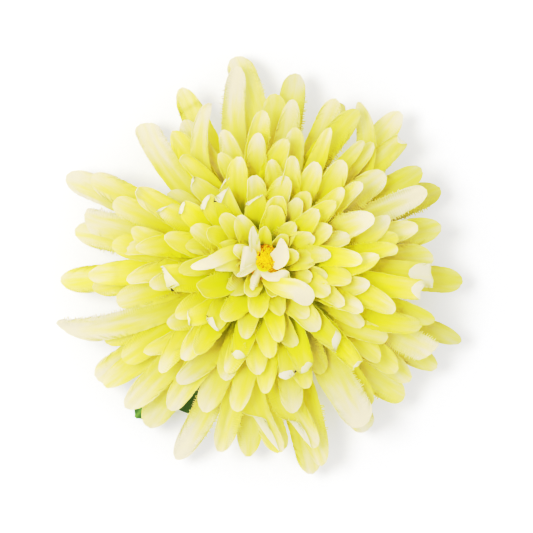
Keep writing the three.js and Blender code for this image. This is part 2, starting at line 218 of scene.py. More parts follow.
# %% [markdown]
# What sets the petals apart. Most petals only vary by a seeded draw, but some have a shape that
# catches the eye: a tip flipped over so that its pale underside shows, an edge rolled in, a
# crease across, a frayed side. Those are listed by layer and place in the layer. Angles are in
# degrees, widths and distances in millimetres, from and to run from 0 at the root to 1 at the
# tip, and a side is +1 for the edge that lies counter-clockwise and -1 for the other.
#
# Bends: cup is how steep the edges stand, tip how far the tip bends up and over the distance
# along which it does, curl what the two rims bend further, fold a crease along the middle, pleat
# the place and angle of one across, twist the turn about the petal's own length, and roll the
# side, angle, from and to of a rolled edge and the part across, from 0 to 1, where it begins.
# Outline: width, taper for how much the tip narrows, blunt for how long its round is, slant for
# how far it is cut back on the counter-clockwise side, or the other where it is negative, fray
# for side, from and to of a frayed edge, ruffle for the waves of the edges and wavy for those
# across. Flipped tips: flap is the distance that lies flat beyond the bend, arc how much earlier
# the edges bend than the middle, and tilt how much earlier one edge does, signed as slant is.
# Course: root and to are where the petal starts and ends, sweep the distance along which it
# swings from one to the other, bend its sideways bend, and lift how many levels it rises above
# its layer. Cloth: dye is more or less dye than usual, and tone how much lighter or darker the
# cloth is painted. A tone below 1 is mostly painted shade, on petals at the right that lie away
# from the light, and a higher dye there adds to that painted shade.

# %% Petals with a shape of their own
# A lens-shaped fold of the tip, with edges that run smooth.
LENS_FOLD = dict(over=1.6, arc=0.9, ruffle=0.1, wavy=0.12)
OWN_SHAPES = {}


def own(layer, index, cup=None, tip=None, **shape):
    """Notes what a petal has of its own, beginning with its cup and tip where they are given."""
    shape.update({key: angle for key, angle in (("cup", cup), ("tip", tip)) if angle is not None})
    OWN_SHAPES[layer, index] = shape


# A tone below 1 here is painted shade, mostly on petals at the right, away from the light.
own(1, 0, 12, -6, dye=0.14, tone=0.82)
own(1, 1, 16, 8, dye=0.16, tone=0.76, slant=1.5, fray=[(-1, 0.7, 0.98)])
own(1, 2, 17, 14, slant=-2.5, dye=0.05, tone=0.96, fray=[(-1, 0.55, 0.97)])
own(1, 3, 15, 6, dye=0.1, tone=0.92, fray=[(-1, 0.6, 0.98)])
own(1, 4, 12, -12, tone=0.88, dye=0.1)
own(1, 5, 10, -8, dye=0.02)
own(1, 6, 13, 30, over=9, dye=0.1, pleat=(0.84, 64), fray=[(1, 0.6, 0.98)])
own(1, 7, 15, -10, taper=0.04, blunt=0.42, slant=-1.6, dye=-0.02, tone=0.95, fray=[(-1, 0.5, 0.97)])
own(1, 8, 9, 18, twist=12, dye=-0.02, taper=0.1, tone=0.92)
own(1, 9, 8, 10, dye=0.04, fray=[(1, 0.5, 0.98), (-1, 0.72, 0.97)])
own(1, 10, 22, 30, over=9, blunt=0.8, taper=0.08, fray=[(1, 0.6, 0.97)])
own(1, 11, 13, -10, width=8.4, taper=0.1, blunt=0.35, slant=9, twist=-12, to=(197.4, 66.4), lift=2.2,
    dye=-0.1, fray=[(-1, 0.36, 0.96)])
own(1, 12, 10, 16, fray=[(1, 0.8, 0.98)])
own(1, 13, 8, 24, to=(233.6, 60.8), width=10.6, over=8, taper=0.08, pleat=(0.8, 26), dye=0.06)
own(1, 14, 9, -6, bend=-5, dye=-0.04, fray=[(1, 0.5, 0.98), (-1, 0.6, 0.96)])
own(1, 15, 15, 20, fold=16)
own(1, 16, 15, 8, fray=[(1, 0.6, 0.97)])
own(1, 17, 13, -26, over=8, blunt=0.5, dye=0.02)
own(1, 18, 10, -8, blunt=0.6, slant=3, dye=0.1, tone=0.93, fray=[(-1, 0.78, 0.99), (1, 0.6, 0.98)])
own(1, 19, 22, 36, over=9, dye=0.1, tone=0.88)
own(1, 20, 24, 4, width=6.6, dye=0.14, tone=0.76)
own(2, 0, 12, 10, slant=3, dye=0.1, tone=0.9)
own(2, 1, 13, 12, dye=0.12, tone=0.84, fray=[(-1, 0.5, 0.98)])
own(2, 2, cup=16, tone=0.82, dye=0.16)
own(2, 3, 11, 150, over=7, taper=0.3, fray=[(-1, 0.5, 0.8)])
own(2, 4, 20, -14, to=(60, 56.2), width=7, bend=20, dye=0.08, tone=0.9, blunt=0.8)
own(2, 5, 14, 8, width=6.6, taper=0.06, blunt=0.6, dye=0.06, fray=[(-1, 0.5, 0.97)])
own(2, 6, 13, 12)
own(2, 7, 22, 6, width=8, taper=0.2, dye=-0.08, fray=[(1, 0.5, 0.98)])
own(2, 8, 12, 6, fray=[(1, 0.6, 0.98)])
own(2, 9, 17, 30, over=8, dye=0.06, taper=0.1, tone=0.94)
own(2, 10, 8, 12, blunt=0.2, slant=2.6, dye=0, fray=[(-1, 0.7, 0.99)])
own(2, 11, 16, 34, over=5, blunt=0.7, pleat=(0.76, 36), dye=0.12)
own(2, 12, 10, 14, dye=0.16, fray=[(1, 0.5, 0.96)])
own(2, 13, 13, 18)
own(2, 14, 12, 10)
own(2, 15, 23, 12, fold=20)
own(2, 16, 17, 18, dye=0.12, taper=0.05, blunt=0.6)
own(2, 17, 15, 8, width=9.4, dye=0.06)
own(2, 18, dye=0.16, tone=0.9)
own(2, 20, 5, 10, blunt=0.12, slant=-3, dye=0, fray=[(-1, 0.5, 0.99), (1, 0.8, 0.99)])
own(3, 0, 34, 46, over=7, dye=0.02)
own(3, 1, 20, 10, dye=-0.12, fray=[(1, 0.4, 0.97), (-1, 0.5, 0.97)])
own(3, 2, 13, 10, fray=[(-1, 0.6, 0.97)])
own(3, 3, width=6.8, dye=0.1)
own(3, 4, 15, -8, width=7.8, taper=0.1, bend=-8, tone=0.88, dye=0.16, fray=[(-1, 0.5, 0.97)])
own(3, 5, 24, 20, taper=0.3, dye=0.02, fray=[(-1, 0.45, 0.97)])
own(3, 6, 24, 80, width=6.2, over=5, taper=0.2, bend=-14, twist=-18, dye=0)
own(3, 7, 30, 34, over=7, dye=0.14)
own(3, 9, 11, 14)
own(3, 11, 15, 30, pleat=(0.78, 24))
own(3, 13, 9, 12, blunt=0.6, dye=0.17, fray=[(-1, 0.6, 0.98)])
own(3, 14, 8, 14, to=(236.8, 52.5), width=9.2, dye=0.04)
own(3, 15, 11, 16, to=(247.5, 48), width=9)
own(3, 16, 8, 4, to=(276, 56.5), width=10, bend=22, taper=0.3, dye=0.06, roll=[(-1, 168, 0.72, 1.3, 0.1)])
own(3, 17, 8, 6, to=(286.5, 57), width=10, bend=14, taper=0.2, dye=0.05, roll=[(-1, 168, 0.74, 1.3, 0.3)])
own(3, 18, 8, 18, width=10.6, taper=0.04, blunt=0.6, dye=-0.1, fray=[(1, 0.5, 0.9)])
own(3, 19, 20, 20, dye=0.14, tone=0.92)
own(3, 20, width=7, cup=26, dye=0.18, tone=0.84)
own(3, 21, 15, 172, over=4.5, flap=6, blunt=0.5, twist=10, dye=0)
own(4, 1, width=6.4)
own(4, 2, 40, 12, width=6.6)
own(4, 6, 44, 60, over=5)
own(4, 7, 46, 70, over=8)
own(4, 8, cup=22, dye=0.14)
own(4, 10, 30, 30)
own(4, 13, 26, 10, to=(233.5, 44), width=8.6)
own(4, 16, dye=0.14, tone=0.92)
own(4, 17, 34, 16, dye=0.14, tone=0.92)
own(4, 20, 26, 150, over=4, flap=3, blunt=0.6, dye=0.02)
own(5, 2, 48, 20)
own(5, 3, 34, 4)
own(5, 7, 34, 150, flap=0.2, tilt=2.4, blunt=1.3, **LENS_FOLD)
own(5, 8, 26, 150, flap=0.2, tilt=-2.6, blunt=1.3, **LENS_FOLD)
own(5, 16, 36, 120, over=3, flap=1.6, ruffle=0.6, wavy=0.6, fray=[(1, 0.6, 0.99), (-1, 0.6, 0.99)])
own(6, 1, 22, 8, dye=-0.14, fray=[(1, 0.5, 0.97)])
own(6, 7, 34, 140, flap=0.2, tilt=3, blunt=1.3, **LENS_FOLD)
own(6, 8, 26, 155, flap=0.5, tilt=2, blunt=1.4, **LENS_FOLD)
own(6, 10, 30, 150, flap=1, tilt=4.4, blunt=1.5, dye=0.06, **LENS_FOLD)
own(6, 12, 34, 26, fray=[(-1, 0.5, 0.97)])
own(6, 15, 36, 155, to=(279, 35), flap=1.6, blunt=1.7, **dict(LENS_FOLD, over=1.8, arc=3))
own(6, 16, 24, 155, over=2.4, flap=1.2, arc=1.2, tilt=2, blunt=1.4, tone=0.9)
own(6, 17, 30, 165, over=3, flap=1.6, arc=0.6, tilt=2, blunt=1, twist=14, tone=0.92)
own(7, 5, dye=0.02)
own(7, 6, 30, 145, flap=0.2, tilt=3.8, blunt=1.6, dye=0.02, **LENS_FOLD)
own(7, 7, 26, 155, flap=0.7, tilt=2.6, blunt=1.5, **LENS_FOLD)
own(7, 9, dye=0.16, tone=0.95)
own(7, 10, dye=0.18, tone=0.93, cup=44)
own(7, 11, 40, 140, flap=0.2, tilt=-2.6, blunt=1.5, **LENS_FOLD)
own(7, 12, 36, 140, flap=0.4, tilt=-2, blunt=1.5, **dict(LENS_FOLD, arc=1.4))
own(7, 13, 26, 155, flap=2, blunt=1.7, **dict(LENS_FOLD, over=1.8, arc=2))
own(8, 3, 36, -12, dye=0)
own(8, 4, 48, 40, over=4, width=8.4)
own(8, 5, 34, 150, tilt=3.6, blunt=1.6, **dict(LENS_FOLD, arc=0.8))
own(8, 7, 52, 40, over=4, dye=0.2)
own(8, 9, 60, 40, over=5, width=9, dye=0.22, tone=0.96)
own(8, 8, -24, -30, root=116, to=(183, 21.8), sweep=27, width=4.6, twist=40, lift=1.3, dye=-0.3,
    ruffle=0.04, wavy=0.05, curl=(0, 0), fray=[], slant=0)
own(9, 5, dye=0.2)
own(9, 6, taper=0.6, cup=20, lift=0.6, dye=-0.1, ruffle=0.05, wavy=0.1, fray=[])
own(9, 8, 30, -14, dye=0.1)
own(9, 10, 26, -6, root=268, to=(322, 18.4), sweep=12, bend=0, twist=0, width=6.6, over=6, taper=0.05,
    blunt=1.5, lift=2.1, dye=-0.3, ruffle=0.05, wavy=0.1, fray=[], curl=(0, 0), slant=0, tone=1.02)
own(10, 2, 58, 6, width=6.6)
own(10, 3, 16, -8, to=(106, 8.8), width=4.2, over=4, taper=0.5, blunt=1.6, fold=20, dye=-0.5, lift=0.8,
    ruffle=0.05, slant=0)
own(10, 7, 50, 34, over=5)
own(11, 0, 26, 6, root=5, to=(57, 9.3), width=7, taper=0.72, fold=14, dye=-0.6, ruffle=0.05, slant=0,
    wavy=0.1)
own(11, 1, 4, -86, root=158, to=(166, 6.9), width=7.2, over=2, blunt=0.15, taper=0, dye=-0.6,
    ruffle=0.04, wavy=0.05, slant=0, curl=(0, 0), twist=0, sweep=4)
own(11, 2, 40, 20, root=196, to=(203, 9), width=3, taper=0.5, fold=24, dye=-0.5)
own(11, 3, -40, 0, root=240, to=(246, 8.6), width=4, fold=-30, taper=0.6, dye=-0.6, slant=0)
own(11, 4, -40, -80, root=272, to=(326, 8.2), sweep=6, width=3.4, over=3, taper=0, blunt=0.5, dye=-0.5,
    ruffle=0.05, slant=0)

# The cloth's heat-set edges spread: how much wider inner petals look than they are punched, and
# how far neighbours of a layer overlap.
OVERLAP = {5: 1.12, 6: 1.18, 7: 1.25, 8: 1.34, 9: 1.38, 10: 1.3}
OVERLAP_GAIN = 0.75

# Ordinary petals: smallest and largest tip bend, length that bends, and edge steepness.
ORDINARY = [
    (range(1, 4), (-16, 16), (6, 10), (2, 20)),
    (range(4, 7), (-34, 16), (7, 13), (10, 48)),
    (range(7, 10), (-48, 6), (6, 11), (14, 54)),
    (range(10, 12), (-40, 10), (4, 6), (24, 50)),
]
LOOSE_FROM = 4  # from this layer up, petals twist, curl and bend sideways more freely
LOOSENESS = (10, 24)
SIDE_BEND = 13
# Middle and spread of what a draw gives an ordinary petal.
FOLD, LEAN, SLANT = (6, 6), (0, 0.45), (0, 1.2)
RUFFLE, WAVY = (0.26, 0.18), (0.3, 0.18)
CREASE_PLACE, CREASE_MOST = (0.6, 0.25), 7
RIM_CURL = 4
FRAYED_ABOVE, FRAY_FROM, FRAY_TO = 0.1, (0.6, 0.15), 0.97
# What changes from the outer petals to the inner ones, and its spread.
TAPER, TAPER_SPREAD = (0.13, 0.2), 0.12
BLUNT, BLUNT_SPREAD = (0.75, 1), 0.2
DYE, DYE_SPREAD = (0.1, 0.06), 0.06
# The tone spreads a little at random. Painted shade makes the cloth a little darker in the low
# layers, which lie under the others, and on petals that lie across the light, which comes from
# the left.
TONE_SPREAD = 0.03
LOW_SHADE, LOW_BELOW = 0.05, 7
CROSS_SHADE = 0.035


def between(ends, part):
    """Part -1 gives the first value and part 1 the second."""
    return ends[0] + (ends[1] - ends[0]) * (part + 1) / 2


def about(value, part):
    """The middle value, and its spread times a part between -1 and 1."""
    middle, spread = value
    return middle + spread * part


def ordinary_shape(layer, azimuth, chance):
    """The seeded shape of a petal that has none of its own. It calls chance with a channel."""
    _, tip, over, cup = next(row for row in ORDINARY if layer in row[0])
    loose = LOOSENESS[layer >= LOOSE_FROM]
    inner = min((layer - 3) / 2, 1)
    fray = []
    if chance(13) > FRAYED_ABOVE:
        fray = [(1 if chance(14) > 0 else -1, about(FRAY_FROM, chance(15)), FRAY_TO)]
    return {
        "tip": between(tip, chance(4)),
        "over": between(over, chance(5)),
        "cup": between(cup, chance(6)),
        "fold": about(FOLD, chance(7)),
        "twist": loose * chance(8),
        "taper": between(TAPER, inner) + TAPER_SPREAD * chance(9),
        "blunt": between(BLUNT, inner) + BLUNT_SPREAD * chance(10),
        "pleat": (about(CREASE_PLACE, chance(11)), CREASE_MOST * max(chance(12), 0)),
        "lean": about(LEAN, chance(16)),
        "curl": (loose * chance(17) + RIM_CURL, loose * chance(18) + RIM_CURL),
        "ruffle": about(RUFFLE, chance(19)),
        "wavy": about(WAVY, chance(35)),
        "bend": SIDE_BEND * chance(20) if layer >= LOOSE_FROM else 0,
        "slant": about(SLANT, chance(38)),
        # The tone spreads a little at random, and is lowered as painted shade in the low layers and across
        # the light.
        "tone": 1 - LOW_SHADE * smooth((LOW_BELOW - layer) / (LOW_BELOW - 1)) + TONE_SPREAD * chance(41)
        - CROSS_SHADE * math.sin(math.radians(azimuth)) ** 2,
        "dye": between(DYE, inner) + DYE_SPREAD * chance(22),
        "lift": 0, "flap": 0, "arc": 0, "tilt": 0, "sweep": SPREAD_LENGTH, "roll": [], "fray": fray,
    }


def petal_plan(layer, index):
    """All that is settled about a petal before its surface is worked out, in mm and radians."""
    width, petals = PETAL_LAYERS[layer - 1]
    azimuth, reach, *extra = petals[index]
    own_width, bend = (*extra, *(width, 0)[len(extra):])
    shape = ordinary_shape(layer, azimuth, lambda channel: draw(layer, index, channel))
    shape.update(OWN_SHAPES.get((layer, index), {}))
    unwrapped = [a + 360 if a < petals[0][0] else a for a, *_ in petals]
    mean = sum(unwrapped) / len(petals)
    root = shape.get("root", mean + (index - (len(petals) - 1) / 2) * 360 / len(petals))
    tip_azimuth, reach = shape.get("to", (unwrapped[index], reach))
    level = HEART_LEVEL if layer == NESTED_LAYERS else layer
    hole = PIN_RADIUS + FIT_GAP if layer == LAYERS else HUB_HOLE_RADIUS
    return {
        **shape,
        **{key: math.radians(shape[key]) for key in ("tip", "cup", "fold", "twist")},
        "curl": tuple(math.radians(angle) for angle in shape["curl"]),
        "pleat": (shape["pleat"][0], math.radians(shape["pleat"][1])),
        "roll": [(side, math.radians(angle), *rest) for side, angle, *rest in shape["roll"]],
        "layer": layer,
        "index": index,
        "level": level,
        "step": NEIGHBOUR_STEP if index % 2 == 0 else -NEIGHBOUR_STEP,
        "reach": reach,
        "width": shape.get("width", own_width * OVERLAP.get(layer, 1)),
        "share": 2 * math.pi / len(petals),
        "root": math.radians(root),
        "sideways": math.radians(bend + shape["bend"]),
        "swing": math.radians(tip_azimuth - root - bend - shape["bend"]),
        "sink": min(ROOT_SINK, 0.7 * (meridian(level)[2] - hole)),
        "waves": (shape["wavy"], 1.2 + 0.5 * draw(layer, index, 36),
                  math.pi * draw(layer, index, 37)),
    }


plans = {
    layer: [petal_plan(layer, index) for index in range(len(PETAL_LAYERS[layer - 1][1]))]
    for layer in range(1, LAYERS + 1)
}
print("petals:", sum(len(rows) for rows in plans.values()), "with own shapes:", len(OWN_SHAPES))

# %% [markdown]
# The middle line of a petal. On the bloom it springs from its hub, follows its layer's arc and
# ends in a curl of its own. It could be drawn as a spline, but a curve given by its slope is
# easier to steer: the layer's slope, plus slow waves, plus a step at a crease, plus the tip's
# bend. Adding up short steps along that slope gives the line, and its length is then mended
# until the petal reaches as far out as it should.

# %% Middle lines
LINE_POINTS = 480
WAVE_LENGTH = (11, 23)
WAVE_SLOPE = 0.1
CREASE_ROUND = 1.2
CREASE_STEP = 1.8
LENGTH_MENDS = 4
LENGTH_RANGE = (0.6, 1.3)


def added_up(rate, along):
    """Running integral by trapezia, starting at 0."""
    return np.concatenate([[0], np.cumsum((rate[1:] + rate[:-1]) / 2 * np.diff(along))])


def line_of_length(plan, length):
    """Distance, radius and height along the middle of a petal of that length: the layer's slope
    with the petal's own bends added, summed up from the root."""
    s = np.linspace(-plan["sink"], length, LINE_POINTS)
    spread = smooth(s / SPREAD_LENGTH)
    radius, height = on_meridian(plan["level"] + spread * (plan["step"] + plan["lift"]), s)
    across, up = np.gradient(radius, s), np.gradient(height, s)
    slope = np.arctan2(up, across)
    layer, index = plan["layer"], plan["index"]
    for channel in (21, 24):
        wave = between(WAVE_LENGTH, draw(layer, index, channel))
        phase = math.pi * draw(layer, index, channel + 1)
        strength = WAVE_SLOPE * (0.6 + 0.4 * draw(layer, index, channel + 2))
        slope += strength * spread * np.sin(2 * math.pi * s / wave + phase)
    place, angle = plan["pleat"]
    past = s - place * length
    slope += angle * (smooth(past / CREASE_ROUND) - smooth((past - CREASE_STEP) / CREASE_ROUND))
    slope += plan["tip"] * smooth((s - length + plan["over"] + plan["flap"]) / plan["over"])
    pace = np.hypot(across, up)
    return (s, radius[0] + added_up(pace * np.cos(slope), s),
            height[0] + added_up(pace * np.sin(slope), s))


def middle_line(plan):
    """The middle line whose furthest point from the axis is the petal's reach."""
    first = float(distance_to(plan["level"], plan["reach"]))
    length = first
    shortest, longest = (part * first for part in LENGTH_RANGE)
    for _ in range(LENGTH_MENDS):
        _, radius, _ = line_of_length(plan, length)
        length = float(np.clip(length + plan["reach"] - radius.max(), shortest, longest))
    return (length, *line_of_length(plan, length))


LONG_PETAL = plans[1][8]
length, _, _, height = middle_line(LONG_PETAL)
print("the long petal on the left is", round(length, 1), "mm long and rises to", round(height.max(), 1))

# %% [markdown]
# The petal's surface. Petals of this kind are straps of woven cloth, cut with a round end, pressed
# into a trough and curled at the tip. A flat strap could be bent by modifiers, one after the
# other, but a surface of two parameters does it in one go: u runs along the petal and v across
# it. Every column of the grid ends on the round end itself, so the tip has no pole and no thin
# triangles. Across the petal the line is again given by its slope, so that edges can stand up or
# roll right over without stretching.

# %% A petal's surface
CLOTH_THICKNESS = 0.2
ROUND_PART = 0.17
SECTION_STEPS = 13
# Zones as start and length of their onset: along the petal and across it as parts of its length
# and half width, and for flipped tips by their angle.
TIP_ZONE = (0.72, 0.2)
RIM_ZONE = (0.55, 0.4)
CURL_ZONE = (0.3, 0.3)
FLIP_ZONE = (1.4, 0.6)
FLIP_FLATTENS = 0.75
STRAP_CUP, TIP_CUP = 0.72, 0.28
CUP_ONSET = 0.22
FOLD_ONSET = 0.2
FOLD_WIDTH = 0.16
WAVE_ONSET = 0.3
WAVE_DRIFT = 3
ROLL_STARTS = 0.12  # rolled edges set in over this part of the length, and
ROLL_ACROSS = 0.3  # over this part of the half width, and
ROLL_ENDS = (0.1, 0.4)  # fade over this part, of which the second is left at their end
FRAY_STARTS = 0.08
FRAY_ENDS = (0.05, 0.5)
STRAP_WIDENS_TO = 0.7
NARROW_FROM = (0.66, 0.4)
ROW_CROWDING = 0.4
CROWDED_PART, EVEN_PART = 0.7, 0.3  # of the columns' spacing, which is closer at the edges
# Powers say how closely something keeps to the petal's edge.
SLANT_POWER = 1.4
EDGE_WAVE_LENGTH = (4, 8)
EDGE_WAVE_ONSET = 0.3
EDGE_WAVE_POWER = 2.5
FINE_WAVE, FINE_LENGTH = 0.6, 0.41  # height and length of a finer wave, as parts of the first one's
SHIVER = 0.1
SHIVER_LENGTHS = (2.3, 3.9)
SHIVER_ONSET = 0.2
SHIVER_POWER = 6
RAGGED = 0.25
RAGGED_WAVES = (9, 5.1)
TIP_PART_LIMIT = 0.9
AHEAD_FROM, AHEAD_LENGTH = 9, 8  # from where before the bend a tip's edges run ahead, and over what length
TWIST_PACE = 1.2
FRAY_DEPTH = 3.2
# Grains dust the roots of these layers: fully up to 1 mm from the root, and not at all from 6 mm.
DUSTED_LAYERS = (9, 10)
DUST_FULL, DUST_LENGTH = 1.2, 5
CLOTH_SHIFT = (7.0, 40)  # for each petal and layer, so that no two have the same streaks
# The dip reaches this many millimetres down from the tip, by layer. It is partly real dye and
# partly painted shade: shorter in the inner layers, so that the parts under the layers above turn
# saturated and darker.
DIP_DEPTH = ((1, 5, 10), (84, 31, 16))


def half_width(plan, s, length, radius):
    """Half the width along a petal: near the root its share of the circle, then a strap that
    widens on its way out and narrows again at the tip."""
    along = np.clip(s / length, 0, 1)
    gain = ROOM_GAIN if plan["layer"] < 5 else OVERLAP_GAIN
    spread = smooth(s / (SPREAD_LENGTH if plan["layer"] < LAYERS else 3))
    room = 0.5 * ROOT_ROOM * plan["share"] * (1 + gain * spread) * radius
    strap = 0.5 * plan["width"] * (1 - STRAP_TAPER * (1 - smooth(along / STRAP_WIDENS_TO)))
    narrow_from = NARROW_FROM[0] - NARROW_FROM[1] * plan["taper"]
    narrowing = rising(along, narrow_from, 1 - narrow_from)
    return np.minimum(room, strap) * (1 - plan["taper"] * narrowing)


def section_slope(plan, along, v):
    """Slope of the petal's cross-section: a trough whose sides get steeper towards its edges and
    near the tip, a crease along the middle, and the rolled edges."""
    tip_zone = rising(along, *TIP_ZONE)
    flatten = 1 - FLIP_FLATTENS * rising(abs(plan["tip"]), *FLIP_ZONE) * tip_zone
    side_share = 1 + plan["lean"] * np.sign(v)
    cup = plan["cup"] * (STRAP_CUP + TIP_CUP * tip_zone)
    slope = cup * smooth(along / CUP_ONSET) * flatten * v * side_share
    rim_curl = np.where(v > 0, plan["curl"][0], -plan["curl"][1]) * rising(np.abs(v), *RIM_ZONE)
    slope = slope + rim_curl * rising(along, *CURL_ZONE)
    crease = smooth(along / FOLD_ONSET) * (1 - tip_zone) * np.tanh(v / FOLD_WIDTH)
    slope = slope + plan["fold"] * crease
    strength, number, phase = plan["waves"]
    wave = np.sin(2 * math.pi * number * v + phase + WAVE_DRIFT * along)
    slope = slope + strength * wave * smooth(along / WAVE_ONSET)
    for side, angle, start, end, place in plan["roll"]:
        window = rising(along, start, ROLL_STARTS) * falling(along, end, *ROLL_ENDS)
        slope = slope + side * angle * window * rising(side * v, place, ROLL_ACROSS)
    return slope


def petal_surface(plan, rows, columns):
    """The middle surface of a petal on a grid, and what its cloth carries. A point is the middle
    line's point at distance s, moved sideways and up by the cross-section's running integral,
    in axes that go with the line and twist about it."""
    layer, index = plan["layer"], plan["index"]
    length, s_line, r_line, z_line = middle_line(plan)
    turn = plan["root"] + plan["swing"] * smooth(s_line / plan["sweep"]) \
        + plan["sideways"] * np.clip(s_line / length, 0, 1) ** 2
    line = np.stack([r_line * np.cos(turn), r_line * np.sin(turn), z_line], 1)
    tangent = np.gradient(line, s_line, axis=0)
    tangent /= np.linalg.norm(tangent, axis=1, keepdims=True)
    sideways = np.stack([-np.sin(turn), np.cos(turn), 0 * turn], 1)
    upwards = np.cross(tangent, sideways)
    upwards /= np.linalg.norm(upwards, axis=1, keepdims=True)
    sideways = np.cross(upwards, tangent)

    t = np.linspace(0, 1, rows)[:, None]
    u = t + ROW_CROWDING * t * (1 - t)
    even = np.linspace(-1, 1, columns)[None, :]
    v = CROWDED_PART * np.sin(even * math.pi / 2) + EVEN_PART * even
    rounding = ROUND_PART * length * plan["blunt"]
    coarse, fine = RAGGED_WAVES
    ragged = RAGGED * np.sin(coarse * v + 3 * draw(layer, index, 31)) * np.sin(fine * v + index)
    slant = abs(plan["slant"])
    cut_back = slant * (0.5 + 0.5 * np.sign(plan["slant"]) * v) ** SLANT_POWER
    end = length - rounding * (1 - np.sqrt(1 - v ** 2)) - cut_back - ragged * (1 - v ** 2)
    tip_part = min(2 * (rounding + slant) / length, TIP_PART_LIMIT)
    row_s = -plan["sink"] + u * (length + plan["sink"]) + 0 * v
    s = row_s - (length - end) * smooth((u - 1 + tip_part) / tip_part)
    along = np.clip(s / length, 0, 1)
    half = half_width(plan, s, length, np.interp(s, s_line, r_line))

    steps = np.linspace(0, 1, SECTION_STEPS)
    slopes = section_slope(plan, along[..., None], v[..., None] * steps)
    weights = np.full(SECTION_STEPS, 1 / (SECTION_STEPS - 1))
    weights[[0, -1]] /= 2
    out = half * v * (np.cos(slopes) @ weights)
    up = half * v * (np.sin(slopes) @ weights)
    wave = between(EDGE_WAVE_LENGTH, draw(layer, index, 32))
    phase = math.pi * draw(layer, index, 33) + 2 * np.sign(v)
    up = up + plan["ruffle"] * smooth(along / EDGE_WAVE_ONSET) * np.abs(v) ** EDGE_WAVE_POWER * (
        np.sin(2 * math.pi * row_s / wave + phase)
        + FINE_WAVE * np.sin(2 * math.pi * row_s / (FINE_LENGTH * wave) + 3 * phase))
    short, long = SHIVER_LENGTHS
    shiver = SHIVER * np.sin(2 * math.pi * row_s / short + 5 * draw(layer, index, 34) + 2 * np.sign(v)) \
        * np.sin(2 * math.pi * row_s / long + index)
    out = out + np.sign(v) * shiver * np.abs(v) ** SHIVER_POWER * smooth(along / SHIVER_ONSET)

    bend_start = length - plan["over"] - plan["flap"]
    tilt = 0.5 * (abs(plan["tilt"]) + plan["tilt"] * v)
    ahead = (plan["arc"] * v ** 2 + tilt) * smooth((s - bend_start + AHEAD_FROM) / AHEAD_LENGTH)

    def at(table, place):
        """A table's rows at places along the middle line."""
        return np.stack([np.interp(place, s_line, table[:, k]) for k in range(3)], -1)

    back = ahead[..., None] * at(tangent, bend_start)
    twist = (plan["twist"] * smooth(along * TWIST_PACE))[..., None]
    side_axis, up_axis = at(sideways, s + ahead), at(upwards, s + ahead)
    side_turned = np.cos(twist) * side_axis + np.sin(twist) * up_axis
    up_turned = np.cos(twist) * up_axis - np.sin(twist) * side_axis
    points = at(line, s + ahead) - back + out[..., None] * side_turned + up[..., None] * up_turned
    dust = smooth(DUST_FULL - s / DUST_LENGTH) * (layer in DUSTED_LAYERS)
    petal_shift, layer_shift = CLOTH_SHIFT
    worn = np.zeros_like(s)
    for side, start, stop in plan["fray"]:
        near = smooth(1 - half * (1 - side * v) / FRAY_DEPTH)
        between_ends = rising(along, start, FRAY_STARTS) * falling(along, stop, *FRAY_ENDS)
        worn = np.maximum(worn, near * between_ends)
    return {
        "points": points,
        "cloth": np.stack([s, half * v, np.full_like(s, petal_shift * index + layer_shift * layer)], -1),
        # The dye attribute carries the dip, partly real dye and partly painted shade, the tone with its
        # painted shade, and the dust.
        "dye": np.stack([(length - s) / np.interp(layer, *DIP_DEPTH) + plan["dye"],
                         np.full_like(s, plan["tone"]), dust], -1),
        "worn": worn,
        "length": length,
    }


def sheet_normals(points):
    """Unit normals of a grid of points, from the cross product of its two directions."""
    normal = np.cross(np.gradient(points, axis=0), np.gradient(points, axis=1))
    return normal / np.maximum(np.linalg.norm(normal, axis=-1, keepdims=True), 1e-12)


def both_faces(points, thickness):
    """Corners of a sheet's upper and lower face, each half the thickness from the middle."""
    offset = sheet_normals(points) * thickness / 2
    return np.concatenate([(points + offset).reshape(-1, 3), (points - offset).reshape(-1, 3)])


def slab_faces(rows, columns):
    """Quads of a closed slab: the upper grid, the lower grid turned over, and the rim between."""
    grid = np.arange(rows * columns).reshape(rows, columns)
    a, b, c, d = grid[:-1, :-1], grid[1:, :-1], grid[1:, 1:], grid[:-1, 1:]
    upper = np.stack([a, b, c, d], -1).reshape(-1, 4)
    far = rows * columns
    rim = np.concatenate([grid[0, :], grid[1:, -1], grid[-1, -2::-1], grid[-2:0:-1, 0]])
    following = np.roll(rim, -1)
    border = np.stack([rim, following, far + following, far + rim], -1)
    return np.concatenate([upper, far + upper[:, ::-1], border])


trial = petal_surface(LONG_PETAL, 60, 17)
print("its surface is a grid of", trial["points"].shape[:2],
      "and it spans", np.round(np.ptp(trial["points"], axis=(0, 1)), 1), "mm")

# %% [markdown]
# Frayed threads. Where the cut edge has frayed, the cross threads stick out like a comb. They
# could be painted on, but against the white table the eye sees them in the outline, so each is a
# short tapered blade of its own. They are 2.4 pixels apart there, which is taken as 0.7 mm.

# %% Thread ends
THREAD_PITCH = 0.7
THREAD_LENGTH = (0.4, 1.05)
THREAD_WIDTH = 0.42
THREAD_THICKNESS = 0.17
THREAD_ROOT = 0.25
THREAD_TAPER = 0.45
THREAD_JITTER = 0.15
THREAD_LEAN = (-0.1, 0.45)
THREAD_LIFT = (-0.2, 0.3)
THREAD_FADE = 3
BLADE_CORNERS = ((-1, -1), (1, -1), (1, 1), (-1, 1))
BLADE_QUADS = np.array([[0, 1, 2, 3], [7, 6, 5, 4], [0, 4, 5, 1], [1, 5, 6, 2],
                        [2, 6, 7, 3], [3, 7, 4, 0]])


